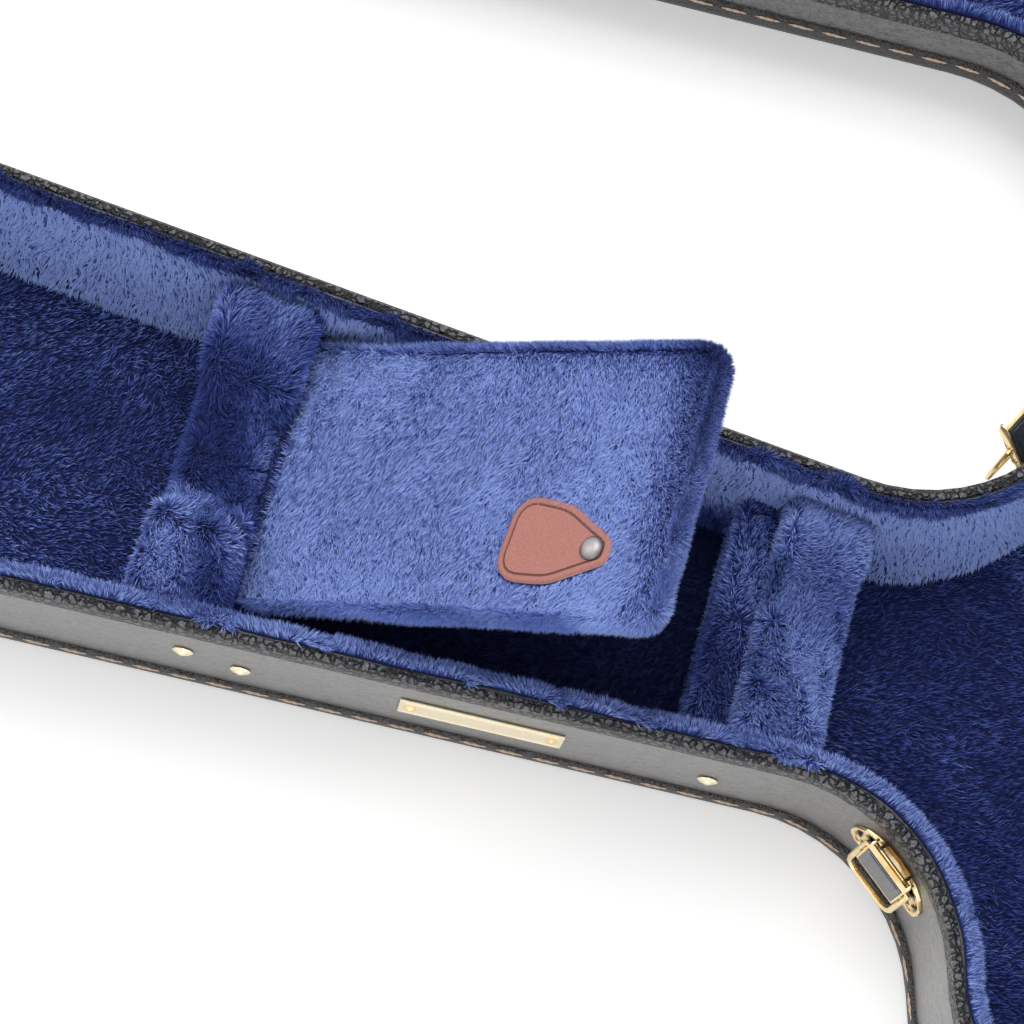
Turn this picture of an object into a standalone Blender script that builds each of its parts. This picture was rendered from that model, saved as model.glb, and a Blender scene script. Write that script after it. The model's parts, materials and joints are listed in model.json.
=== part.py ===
"""Hard shell case for an electric guitar, lying open on a floor.

The base stands on its flat bottom with the neck end at -X and the hinges at +Y. The lid is turned
right over behind the base, and the small lid of the accessory compartment stands part open.
"""

import math

import bmesh
import bpy
from mathutils import Matrix, Vector

# Outline of both shells, seen from above
CASE_LENGTH = 1.055
HEAD_HALF_WIDTH = 0.1039
HEAD_RADIUS = 0.045
THROAT_X = 0.0890
THROAT_HALF_WIDTH = 0.0654
THROAT_RADIUS = 0.084
SHOULDER_X = 0.1272
BODY_HALF_WIDTH = 0.190
SHOULDER_RADIUS = 0.066
BUTT_RADIUS = 0.115
ARC_STEPS = 6
BUTT_STEPS = 8
THROAT_STEPS = 10

# Shells
BASE_DEPTH = 0.0847
LID_DEPTH = 0.042
PANEL = 0.0045
WALL = 0.005
SEAM = 0.0008
GAP = 0.0003
BINDING_DROP = 0.0117
BINDING_LAP = 0.0032
BINDING_PROUD = 0.0018
BINDING_TOP = 0.0015
PIPING_HEIGHT = 0.0115
PIPING_PROUD = 0.0023
LINING_TOP = 0.0030
LINING_FOOT = 0.0065
LINING_FLOOR = 0.0065

# Padded blocks across the neck channel, and the accessory compartment between them
HEAD_CRADLE_X = -0.2745
HEAD_CRADLE_WIDTH = 0.0365
HEAD_CRADLE_TOP = 0.082
HEAD_CRADLE_DIP = 0.058
HEEL_CRADLE_X = -0.0055
HEEL_CRADLE_WIDTH = 0.037
HEEL_CRADLE_TOP = 0.072
HEEL_CRADLE_DIP = 0.062
CRADLE_ROUND = 0.006
NECK_HALF_WIDTH = 0.026
HORN_BULGE = 0.005
LEDGE_WIDTH = 0.019
LEDGE_TOP = 0.0505
STRIP_WIDTH = 0.016
STRIP_DEPTH = 0.013
STRIP_FLANGE = 0.0045

# Compartment lid and its leather pull tab
POCKET_LID_LENGTH = 0.211
POCKET_LID_HINGE_HALF = 0.0630
POCKET_LID_FREE_HALF = 0.0595
POCKET_LID_THICKNESS = 0.009
POCKET_LID_OFFSET = 0.002
POCKET_LID_RADIUS = 0.009
POCKET_LID_OPEN = math.radians(37.0)
TAB_LENGTH = 0.050
TAB_WIDTH = 0.044
TAB_THICKNESS = 0.0018
TAB_CENTRE = (0.156, -0.028)
TAB_TURN = math.radians(-5.0)
RIVET_RADIUS = 0.0055
RIVET_HEIGHT = 0.0028

# Hinges, placed at shares of the body's length from the shoulder
HINGE_SHARES = (0.20, 0.42, 0.64)
HINGE_WIDTH = 0.040
HINGE_STANDOFF = 0.005
HINGE_SHEET = 0.0013
HINGE_LEAF = 0.030
HINGE_PIN_RADIUS = 0.0013
HINGE_PLAY = 0.0002
KNUCKLE_WIDTH = 0.0144

# Latches: a plate with ears, a lever, a bail that swings on the lever, and a keeper on the lid
FRONT_LATCH_SHARES = (0.18, 0.63)
FRONT_THROAT_HEADING = math.radians(39.0)
BACK_THROAT_HEADING = math.radians(62.0)
PLATE_LENGTH = 0.048
PLATE_HEIGHT = 0.030
PLATE_SHEET = 0.0015
PLATE_DROP = 0.0405
PIVOT_OUT = 0.0083
PIVOT_DROP = 0.0165
PIVOT_RADIUS = 0.0012
EAR_INSIDE = 0.0080
EAR_SHEET = 0.0015
LEVER_HALF_WIDTH = 0.0130
LEVER_LENGTH = 0.0270
LEVER_HEAD = 0.0030
LEVER_SHEET = 0.0012
LEVER_DEPTH = 0.0062
LEVER_OUT = 0.0121
INLAY_RECESS = 0.0006
BAIL_DROP = 0.0075
BAIL_ARM = 0.0148
BAIL_WIRE = 0.0015
BAIL_LENGTH = 0.0397
BAIL_CORNER = 0.007
KEEPER_HALF_WIDTH = 0.0085
KEEPER_SHEET = 0.0013
KEEPER_PLATE = 0.014
FAR_LEVER_OPEN = math.radians(138.0)

# Handle
HANDLE_SHARE = 0.405
HANDLE_HALF_SPAN = 0.048
HANDLE_DROP = 0.032
HANDLE_OUT = 0.0130
HANDLE_PIN_RADIUS = 0.0018
HANDLE_EYE = 0.0018
LINK_DROP = 0.0155
GRIP_DROP = 0.032
GRIP_WIDTH = 0.0105
GRIP_THICKNESS = 0.0085
BRACKET_WIDTH = 0.018
BRACKET_HEIGHT = 0.030

# Small trim on the front wall
NAMEPLATE_CENTRE_X = -0.1140
NAMEPLATE_LENGTH = 0.076
NAMEPLATE_HEIGHT = 0.020
NAMEPLATE_THICKNESS = 0.0016
NAMEPLATE_Z = 0.042
NAIL_PLACES = ((-0.2503, 0.0465), (-0.2240, 0.0365), (-0.0082, 0.0345))
NAIL_RADIUS = 0.0054
NAIL_HEIGHT = 0.0030

LID_TOP = BASE_DEPTH + SEAM + LID_DEPTH
HINGE_AXIS = Vector((0.0, BODY_HALF_WIDTH + HINGE_STANDOFF, BASE_DEPTH + SEAM / 2))
TAPER = (HEAD_HALF_WIDTH - THROAT_HALF_WIDTH) / (CASE_LENGTH / 2 + THROAT_X)
NECK_LINE = Vector((1.0, -TAPER)).normalized()
SHOULDER_LINE = Vector((SHOULDER_X - THROAT_X, BODY_HALF_WIDTH - THROAT_HALF_WIDTH)).normalized()
THROAT_TURN = NECK_LINE.angle(SHOULDER_LINE)

# Corners of the outline, anticlockwise: x, y, fillet radius and steps of each
FRONT_CORNERS = (
    (-CASE_LENGTH / 2, HEAD_HALF_WIDTH, HEAD_RADIUS, ARC_STEPS),
    (THROAT_X, THROAT_HALF_WIDTH, THROAT_RADIUS, THROAT_STEPS),
    (SHOULDER_X, BODY_HALF_WIDTH, SHOULDER_RADIUS, ARC_STEPS),
    (CASE_LENGTH / 2, BODY_HALF_WIDTH, BUTT_RADIUS, BUTT_STEPS),
)
CORNERS = [(x, -y, radius, steps) for x, y, radius, steps in FRONT_CORNERS]
CORNERS += list(reversed(FRONT_CORNERS))


def lid_rest_angle():
    """Angle through which the lid opens until its far edge lies on the floor."""
    reach = HINGE_AXIS.y + BODY_HALF_WIDTH + PIPING_PROUD
    rise = LID_TOP - HINGE_AXIS.z
    return math.pi + math.asin((HINGE_AXIS.z - GAP) / math.hypot(reach, rise)) - math.atan2(rise, reach)


def along_body(share):
    """x at this share of the body's length, from the shoulder to the butt end."""
    return SHOULDER_X + share * (CASE_LENGTH / 2 - SHOULDER_X)


def clear_scene():
    for old in list(bpy.data.objects):
        bpy.data.objects.remove(old)


def finish_material(name, colour, roughness, metallic=0.0):
    material = bpy.data.materials.new(name)
    material.use_nodes = True
    shader = material.node_tree.nodes["Principled BSDF"]
    shader.inputs["Base Color"].default_value = (*colour, 1.0)
    shader.inputs["Roughness"].default_value = roughness
    shader.inputs["Metallic"].default_value = metallic
    return material


def pivot(name, place, turn=None):
    """An empty at a joint's axis, with its rotation at rest."""
    empty = bpy.data.objects.new(name, None)
    empty.matrix_world = Matrix.Translation(place) @ (turn or Matrix.Identity(4))
    bpy.context.scene.collection.objects.link(empty)
    return empty


def add_object(name, mesh, material, parent=None, offset=(0.0, 0.0, 0.0)):
    piece = bpy.data.objects.new(name, mesh)
    bpy.context.scene.collection.objects.link(piece)
    piece.parent = parent
    piece.location = offset
    if material and not mesh.materials:
        mesh.materials.append(material)
    return piece


def mesh_from(name, build):
    """A mesh with outward faces, filled by the build function."""
    shape = bmesh.new()
    build(shape)
    bmesh.ops.recalc_face_normals(shape, faces=shape.faces)
    mesh = bpy.data.meshes.new(name)
    shape.to_mesh(mesh)
    shape.free()
    return mesh


def loft(name, rings, closed=False):
    """Mesh through rings of equally many points: a hoop if closed, else capped at both ends."""
    def build(shape):
        loops = [[shape.verts.new(point) for point in ring] for ring in rings]
        pairs = list(zip(loops, loops[1:]))
        if closed:
            pairs.append((loops[-1], loops[0]))
        for low, high in pairs:
            for index in range(len(low)):
                shape.faces.new((low[index - 1], low[index], high[index], high[index - 1]))
        if not closed:
            shape.faces.new(loops[0])
            shape.faces.new(loops[-1])
    return mesh_from(name, build)


def extruded(name, profile, half_width):
    """Profile in (out, up) drawn across the local X axis, as sheet metal is cut and bent."""
    return loft(name, [[(side * half_width, out, up) for out, up in profile] for side in (-1, 1)])


def turned(name, profile, segments=14):
    """Solid of revolution about the local Y axis from (radius, out) points, closed on its axis."""
    rings = []
    for radius, out in profile:
        angles = [2 * math.pi * step / segments for step in range(segments)]
        rings.append([(radius * math.cos(a), out, radius * math.sin(a)) for a in angles])
    return loft(name, rings)


def swept(name, path, sizes, sides):
    """Round or oval bar along a path in the XZ plane: sizes gives (across, out) half sizes."""
    rings = []
    for index, (x, z) in enumerate(path):
        before = Vector(path[max(index - 1, 0)])
        after = Vector(path[min(index + 1, len(path) - 1)])
        along = (after - before).normalized()
        side = Vector((-along.y, along.x))
        across, out = sizes[index]
        ring = []
        for step in range(sides):
            angle = 2 * math.pi * (step + 0.5) / sides
            shift = side * across * math.cos(angle)
            ring.append((x + shift.x, out * math.sin(angle), z + shift.y))
        rings.append(ring)
    return loft(name, rings)


def sheet_profile(path, thickness):
    """Closed outline of a bent sheet whose middle follows the path."""
    points = [Vector(point) for point in path]
    left, right = [], []
    for index, point in enumerate(points):
        ahead = points[min(index + 1, len(points) - 1)] - points[max(index, 0)]
        behind = point - points[max(index - 1, 0)]
        ahead = ahead.normalized() if ahead.length else behind.normalized()
        behind = behind.normalized() if behind.length else ahead
        bisector = Vector((-(ahead + behind).y, (ahead + behind).x)).normalized()
        normal = Vector((-ahead.y, ahead.x))
        reach = thickness / 2 / max(bisector.dot(normal), 0.5)
        left.append(point + bisector * reach)
        right.append(point - bisector * reach)
    return left + right[::-1]


def arc(centre, radius, start, sweep, steps):
    """Points on an arc, angles in degrees from the out direction towards up."""
    angles = [math.radians(start + sweep * step / steps) for step in range(steps + 1)]
    return [(centre[0] + radius * math.cos(a), centre[1] + radius * math.sin(a)) for a in angles]


def boolean(mesh, cutters, operation):
    """The mesh after an exact boolean with each cutter mesh in turn."""
    for cutter in cutters:
        body = add_object("boolean_body", mesh, None)
        tool = add_object("boolean_tool", cutter, None)
        step = body.modifiers.new("Boolean", "BOOLEAN")
        step.operation = operation
        step.solver = "EXACT"
        step.object = tool
        evaluated = body.evaluated_get(bpy.context.evaluated_depsgraph_get())
        mesh = bpy.data.meshes.new_from_object(evaluated)
        bpy.data.objects.remove(body)
        bpy.data.objects.remove(tool)
    return mesh


def box(low, high):
    def build(shape):
        size = Vector(high) - Vector(low)
        place = Matrix.Translation((Vector(high) + Vector(low)) / 2) @ Matrix.Diagonal((*size, 1.0))
        bmesh.ops.create_cube(shape, size=1.0, matrix=place)
    return mesh_from("box", build)


def rod(radius, half_length, out, up, segments=12):
    """Round bar along the local X axis."""
    ring = arc((out, up), radius, 0.0, 360.0 - 360.0 / segments, segments - 1)
    return extruded("rod", ring, half_length)


def rounded_polygon(corners, inset):
    """Anticlockwise outline with filleted corners, moved inward; each arc keeps its step count."""
    count = len(corners)
    starts, directions = [], []
    for index in range(count):
        here = Vector(corners[index][:2])
        along = (Vector(corners[(index + 1) % count][:2]) - here).normalized()
        starts.append(here + Vector((-along.y, along.x)) * inset)
        directions.append(along)
    points = []
    for index, (_, _, radius, steps) in enumerate(corners):
        before, after = directions[index - 1], directions[index]
        bend = before.cross(after)
        corner = starts[index - 1] + before * ((starts[index] - starts[index - 1]).cross(after) / bend)
        turn = math.atan2(bend, before.dot(after))
        fillet = radius - math.copysign(inset, turn)
        begin = corner - before * fillet * math.tan(abs(turn) / 2)
        middle = begin + Vector((-before.y, before.x)) * math.copysign(fillet, turn)
        for step in range(steps + 1):
            spoke = (begin - middle).copy()
            spoke.rotate(Matrix.Rotation(turn * step / steps, 2))
            points.append(middle + spoke)
    return points


def outline(inset, height):
    """The case's outline at a height, this far inside the outer face of its wall."""
    return [(point.x, point.y, height) for point in rounded_polygon(CORNERS, inset)]


def hoop(name, profile, height_of):
    return loft(name, [outline(inset, height_of(z)) for inset, z in profile], closed=True)


def neck_half_width(x):
    """Half width of the case's outside where the neck channel tapers."""
    return THROAT_HALF_WIDTH + (THROAT_X - x) * TAPER


def lining_face(depth):
    """Inner face of the plush from rim to floor, as (inset from the outside, height)."""
    foot = WALL + GAP + LINING_FOOT
    floor = PANEL + GAP + LINING_FLOOR
    return [(WALL + GAP + LINING_TOP, depth - 0.004), (foot, floor + 0.012),
            (foot + 0.0015, floor + 0.004), (foot + 0.006, floor)]


def channel_half_width(x, z):
    """Half width left inside the base's lining where the neck channel tapers."""
    face = lining_face(BASE_DEPTH)
    inset = face[0][0]
    for (upper_inset, upper), (lower_inset, lower) in zip(face, face[1:]):
        if lower <= z <= upper:
            inset = lower_inset + (upper_inset - lower_inset) * (z - lower) / (upper - lower)
    if z < face[-1][1]:
        inset = face[-1][0]
    return neck_half_width(x) - (inset + 2 * GAP) * math.hypot(1.0, TAPER)


def build_shell(prefix, depth, height_of, materials, parent, offset):
    """Side wall, panel, rim binding, edge piping and plush lining of one half of the case."""
    wall_top = depth - BINDING_TOP - GAP
    wall = [(0.0, PANEL + GAP), (0.0, wall_top), (WALL, wall_top), (WALL, PANEL + GAP)]
    pieces = [("side_wall", hoop("wall", wall, height_of), "leatherette")]

    panel = loft("panel", [outline(0.0, height_of(z)) for z in (0.0, PANEL)])
    pieces.append(("bottom_panel" if prefix == "base" else "top_panel", panel, "leatherette"))

    edge = BINDING_PROUD
    binding = [
        (-GAP, depth - BINDING_DROP), (-edge * 0.8, depth - BINDING_DROP + 0.0004),
        (-edge, depth - BINDING_DROP * 0.5), (-edge * 0.8, depth - 0.0014), (0.0, depth - 0.0001),
        (BINDING_LAP - 0.0006, depth), (BINDING_LAP, depth - 0.0006),
        (BINDING_LAP, depth - BINDING_TOP), (-GAP, depth - BINDING_TOP),
    ]
    pieces.append(("rim_binding", hoop("binding", binding, height_of), "binding"))

    edge = PIPING_PROUD
    piping = [
        (-GAP, 0.0006), (-edge * 0.7, 0.0008), (-edge, PIPING_HEIGHT * 0.3),
        (-edge, PIPING_HEIGHT * 0.72), (-edge * 0.6, PIPING_HEIGHT - 0.0004), (-GAP, PIPING_HEIGHT),
    ]
    pieces.append(("edge_piping", hoop("piping", piping, height_of), "piping"))

    face = WALL + GAP
    lining = [
        (face, PANEL + GAP), (face, wall_top + GAP), (BINDING_LAP + GAP, wall_top + GAP),
        (BINDING_LAP + GAP, depth - 0.0006), (face, depth - 0.0002),
        (face + LINING_TOP * 0.75, depth - 0.0010),
    ]
    lining += lining_face(depth)
    rings = [outline(inset, height_of(z)) for inset, z in lining]
    pieces.append(("lining", loft("lining", rings), "plush"))
    for name, mesh, finish in pieces:
        add_object(f"{prefix}_{name}", mesh, materials[finish], parent, offset)


def across_channel(name, x_ends, top, material, rounding=0.0, bulge=None):
    """Block from wall to wall of the neck channel.

    top gives (y, z) from the middle out, where a negative y is measured back from the lining.
    """
    low, high = x_ends
    stations = [(low, rounding), (low + rounding * 0.4, rounding * 0.25),
                (high - rounding * 0.4, rounding * 0.25), (high, rounding)]
    if not rounding:
        stations = [(low, 0.0), (high, 0.0)]
    floor = lining_face(BASE_DEPTH)[-1][1] + 2 * GAP
    side_top = top[-1][1] - rounding
    breaks = [z for _, z in lining_face(BASE_DEPTH) if floor < z < side_top - 2 * rounding]
    rings = []
    for x, drop in stations:
        half = []
        for y, z in top:
            reach = 0.0 if y > 0.0 else channel_half_width(x, z - drop)
            shift = bulge(reach + y, x) if bulge else 0.0
            half.append((x + shift, reach + y, z - drop))
        for z in [side_top - drop] + breaks + [floor]:
            shift = bulge(channel_half_width(x, z), x) if bulge else 0.0
            half.append((x + shift, channel_half_width(x, z), z))
        rings.append(half + [(x, -y, z) for x, y, z in reversed(half)])
    add_object(name, loft(name, rings), material)


def build_interior(plush, leather, steel):
    def saddle(top, dip):
        slope = 0.35 * (top - dip)
        return [
            (0.005, dip), (NECK_HALF_WIDTH * 0.7, dip + slope * 0.25), (NECK_HALF_WIDTH, dip + slope),
            (NECK_HALF_WIDTH * 1.25, top - slope * 0.6), (NECK_HALF_WIDTH * 1.6, top),
            (-0.012, top), (-0.003, top - CRADLE_ROUND * 0.6),
        ]

    def horns(y, x):
        outer = min(max((abs(y) - NECK_HALF_WIDTH) / 0.010, 0.0), 1.0)
        return -HORN_BULGE * outer if x < HEAD_CRADLE_X + HEAD_CRADLE_WIDTH / 2 else 0.0

    head_end = HEAD_CRADLE_X + HEAD_CRADLE_WIDTH
    across_channel("head_neck_cradle", (HEAD_CRADLE_X, head_end), saddle(HEAD_CRADLE_TOP, HEAD_CRADLE_DIP),
                   plush, CRADLE_ROUND, horns)
    across_channel("heel_neck_cradle", (HEEL_CRADLE_X, HEEL_CRADLE_X + HEEL_CRADLE_WIDTH),
                   saddle(HEEL_CRADLE_TOP, HEEL_CRADLE_DIP), plush, CRADLE_ROUND)
    ledge_end = HEEL_CRADLE_X - GAP
    across_channel("compartment_end_ledge", (ledge_end - LEDGE_WIDTH, ledge_end), [(0.005, LEDGE_TOP)], plush)

    lid_low = LEDGE_TOP + 2 * GAP
    lid_high = lid_low + POCKET_LID_THICKNESS
    strip_start = head_end + GAP
    hinge_x = strip_start + STRIP_FLANGE + GAP
    strip_half = channel_half_width(strip_start + STRIP_WIDTH, LEDGE_TOP - STRIP_DEPTH)
    profile = [
        (strip_start, LEDGE_TOP - STRIP_DEPTH), (strip_start + STRIP_WIDTH, LEDGE_TOP - STRIP_DEPTH),
        (strip_start + STRIP_WIDTH, LEDGE_TOP), (strip_start + STRIP_FLANGE, LEDGE_TOP),
        (strip_start + STRIP_FLANGE, lid_high - GAP), (strip_start, lid_high - GAP),
    ]
    rings = [[(x, y, z) for x, z in profile] for y in (-strip_half, strip_half)]
    add_object("compartment_hinge_strip", loft("strip", rings), plush)

    # The lid's mesh is drawn closed about its hinge line, which lies along its upper edge
    hinge_line = (hinge_x, POCKET_LID_OFFSET, lid_high)
    lid_pivot = pivot("compartment_lid_axis", hinge_line, Matrix.Rotation(-POCKET_LID_OPEN, 4, "Y"))
    edge = POCKET_LID_THICKNESS * 0.28
    bottom = -POCKET_LID_THICKNESS
    rings = []
    for inset, z in ((edge / 2, bottom), (0.0, bottom + edge), (0.0, -edge), (edge / 2, 0.0)):
        corners = [
            (-inset, -POCKET_LID_HINGE_HALF, POCKET_LID_RADIUS / 3, 2),
            (POCKET_LID_LENGTH, -POCKET_LID_FREE_HALF, POCKET_LID_RADIUS, 4),
            (POCKET_LID_LENGTH, POCKET_LID_FREE_HALF, POCKET_LID_RADIUS, 4),
            (-inset, POCKET_LID_HINGE_HALF, POCKET_LID_RADIUS / 3, 2),
        ]
        rings.append([(p.x, p.y, z) for p in rounded_polygon(corners, inset)])
    add_object("compartment_lid", loft("pocket_lid", rings), plush, lid_pivot)

    # The pull tab is shaped like a plectrum, with its rivet at the narrow end
    half_length, half_width = TAB_LENGTH / 2, TAB_WIDTH / 2
    upper_side = [
        (half_length * 1.12, half_width * 0.24, half_width * 0.22, 3),
        (half_length * 0.10, half_width * 0.84, half_width * 1.2, 3),
        (-half_length, half_width * 0.92, half_width * 0.5, 4),
    ]
    pick = [(x, -y, radius, steps) for x, y, radius, steps in reversed(upper_side)] + upper_side
    turn = Matrix.Rotation(TAB_TURN, 2)
    rings = []
    for inset, z in ((0.0, GAP), (0.0, TAB_THICKNESS * 0.75), (0.0005, TAB_THICKNESS)):
        places = [turn @ p + Vector(TAB_CENTRE) for p in rounded_polygon(pick, inset)]
        rings.append([(p.x, p.y, z) for p in places])
    add_object("pull_tab", loft("pull_tab", rings), leather, lid_pivot)
    rivet_place = turn @ Vector((half_length * 0.78, 0.0)) + Vector(TAB_CENTRE)
    dome = [(RIVET_RADIUS, 0.0), (RIVET_RADIUS, 0.0006), (RIVET_RADIUS * 0.8, RIVET_HEIGHT * 0.7),
            (RIVET_RADIUS * 0.45, RIVET_HEIGHT)]
    rivet = turned("rivet", dome)
    rivet.transform(Matrix.Rotation(math.pi / 2, 4, "X"))
    add_object("tab_rivet", rivet, steel, lid_pivot, (rivet_place.x, rivet_place.y, TAB_THICKNESS + GAP))
    return hinge_line


def hinge_leaf(side):
    """Rolled leaf in (out, up) about the pin: side -1 hangs down the base, +1 runs up the lid."""
    middle = HINGE_PIN_RADIUS + HINGE_PLAY + HINGE_SHEET / 2
    roll = [(out, side * up) for out, up in arc((0.0, 0.0), middle, 90.0, -270.0, 9)]
    seat = HINGE_SHEET / 2 + GAP - HINGE_STANDOFF
    below = BINDING_DROP + SEAM / 2
    path = roll + [(-middle, side * (below + 0.001)), (seat, side * (below + 0.004))]
    path.append((seat, side * HINGE_LEAF))
    return extruded("leaf", sheet_profile(path, HINGE_SHEET), HINGE_WIDTH / 2)


def build_hinges(brass, lid_axis):
    reach = HINGE_PIN_RADIUS + HINGE_PLAY + HINGE_SHEET + GAP
    slot = KNUCKLE_WIDTH / 2
    end = HINGE_WIDTH
    base_leaf = boolean(hinge_leaf(-1), [box((-slot, -reach, -reach), (slot, end, end))], "DIFFERENCE")
    left = box((-end, -reach, -end), (GAP - slot, end, reach))
    right = box((slot - GAP, -reach, -end), (end, end, reach))
    lid_leaf = boolean(hinge_leaf(1), [left, right], "DIFFERENCE")
    pin = rod(HINGE_PIN_RADIUS, HINGE_WIDTH / 2 + 0.0008, 0.0, 0.0)
    for number, share in enumerate(HINGE_SHARES, 1):
        x = along_body(share)
        place = (x, HINGE_AXIS.y, HINGE_AXIS.z)
        add_object(f"hinge_{number}_base_leaf", base_leaf, brass, None, place)
        add_object(f"hinge_{number}_pin", pin, brass, None, place)
        add_object(f"hinge_{number}_lid_leaf", lid_leaf, brass, lid_axis, (x, 0.0, 0.0))


def seat_on_wall(bow, u):
    """Distance out to the wall at u along it; bow is the radius of a hollow wall, or None if flat.

    The hollow is drawn in flats, which stand a little proud of the true arc.
    """
    if bow is None:
        return GAP
    flats = bow * (1 - math.cos(THROAT_TURN / THROAT_STEPS / 2))
    return GAP + flats + bow - math.sqrt(bow * bow - u * u)


def latch_plate(bow):
    """Oval plate, bent to its wall, with two ears and the lever's pin."""
    rings = []
    for step in range(11):
        u = -PLATE_LENGTH / 2 * math.cos(math.pi * step / 10) * 0.999
        share = abs(2 * u / PLATE_LENGTH)
        half = PLATE_HEIGHT / 2 * (1 - share ** 2.6) ** (1 / 2.6)
        back = seat_on_wall(bow, u)
        front = back + PLATE_SHEET
        middle = -PLATE_DROP
        rings.append([(u, back, middle - half), (u, front, middle - half * 0.94),
                      (u, front, middle + half * 0.94), (u, back, middle + half)])
    plate = loft("plate", rings)
    parts = []
    for side in (-1, 1):
        low, high = sorted((side * EAR_INSIDE, side * (EAR_INSIDE + EAR_SHEET)))
        inside = seat_on_wall(bow, EAR_INSIDE) + PLATE_SHEET / 2
        arm = [(-0.0016, -0.0010), (-0.0014, 0.0012), (0.0003, 0.0017), (0.0016, 0.0008), (0.0010, -0.0026)]
        profile = [(inside, -PLATE_DROP), (inside, -PIVOT_DROP - 0.0045)]
        profile += [(PIVOT_OUT + out, up - PIVOT_DROP) for out, up in arm]
        parts.append(loft("ear", [[(u, out, up) for out, up in profile] for u in (low, high)]))
    parts.append(rod(PIVOT_RADIUS, LEVER_HALF_WIDTH + 0.0002, PIVOT_OUT, -PIVOT_DROP))
    return boolean(plate, parts, "UNION")


def lever_mesh():
    """Pressed lever about its pin, closed: a shallow channel with a recess for its inlay."""
    top, bottom = LEVER_HEAD, LEVER_HEAD - LEVER_LENGTH
    front = LEVER_OUT - PIVOT_OUT
    back = front - LEVER_DEPTH
    crown = 0.0018
    profile = [(back, top - crown), (back + crown, top), (front - crown, top), (front, top - crown),
               (front, bottom + crown), (front - crown, bottom), (front - 2 * crown, bottom),
               (back, bottom + 2.5 * crown)]
    cover = extruded("lever", profile, LEVER_HALF_WIDTH)
    inside = LEVER_HALF_WIDTH - LEVER_SHEET
    floor = front - INLAY_RECESS
    hollow = box((-inside, back - 0.002, bottom - 0.002), (inside, floor - LEVER_SHEET, top + 0.002))
    recess = box((-inside - 0.0002, floor, bottom + 0.003), (inside + 0.0002, front + 0.002, top - 0.0025))
    bore = PIVOT_RADIUS + GAP
    holes = [rod(bore, 2 * LEVER_HALF_WIDTH, 0.0, 0.0), rod(bore, 2 * LEVER_HALF_WIDTH, 0.0, -BAIL_DROP)]
    return boolean(cover, [hollow, recess] + holes, "DIFFERENCE")


def bail_mesh():
    """U-shaped bar that hangs from two pins in the lever's cheeks."""
    pin_end = LEVER_HALF_WIDTH - LEVER_SHEET
    side = [(-pin_end, 0.0), (-LEVER_HALF_WIDTH - GAP, 0.0)]
    side += [(-BAIL_ARM + 0.0004, -0.0002), (-BAIL_ARM, -0.0018)]
    middle = (-BAIL_ARM + BAIL_CORNER, -BAIL_LENGTH + BAIL_CORNER)
    bend = [(middle[0] - BAIL_CORNER * math.cos(a), middle[1] - BAIL_CORNER * math.sin(a))
            for a in (math.radians(18.0 * step) for step in range(6))]
    half = side + bend
    path = half + [(-x, z) for x, z in reversed(half)]
    wires = [PIVOT_RADIUS, PIVOT_RADIUS] + [BAIL_WIRE] * (len(half) - 2)
    wires += wires[::-1]
    return swept("bail", path, [(wire, wire) for wire in wires], 8)


def keeper_mesh(bow):
    """Hooked plate on the lid that the bail pulls down on."""
    seat = seat_on_wall(bow, KEEPER_HALF_WIDTH) + KEEPER_SHEET / 2
    low = SEAM + BINDING_DROP + 0.0009
    path = [(seat, low + KEEPER_PLATE), (seat, low + 0.0010), (seat + 0.0012, low), (seat + 0.0046, low),
            (seat + 0.0066, low + 0.0012), (seat + 0.0072, low + 0.0036)]
    return extruded("keeper", sheet_profile(path, KEEPER_SHEET), KEEPER_HALF_WIDTH)


def throat_latch(side, heading):
    """Wall point and direction of a latch in the hollow between neck and body, side +1 at the back."""
    start = Vector((THROAT_X, THROAT_HALF_WIDTH)) - NECK_LINE * THROAT_RADIUS * math.tan(THROAT_TURN / 2)
    centre = start + Vector((-NECK_LINE.y, NECK_LINE.x)) * THROAT_RADIUS
    out = Vector((-math.sin(heading), math.cos(heading)))
    place = centre - out * THROAT_RADIUS
    return (place.x, side * place.y), math.atan2(side * out.y, out.x)


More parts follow.
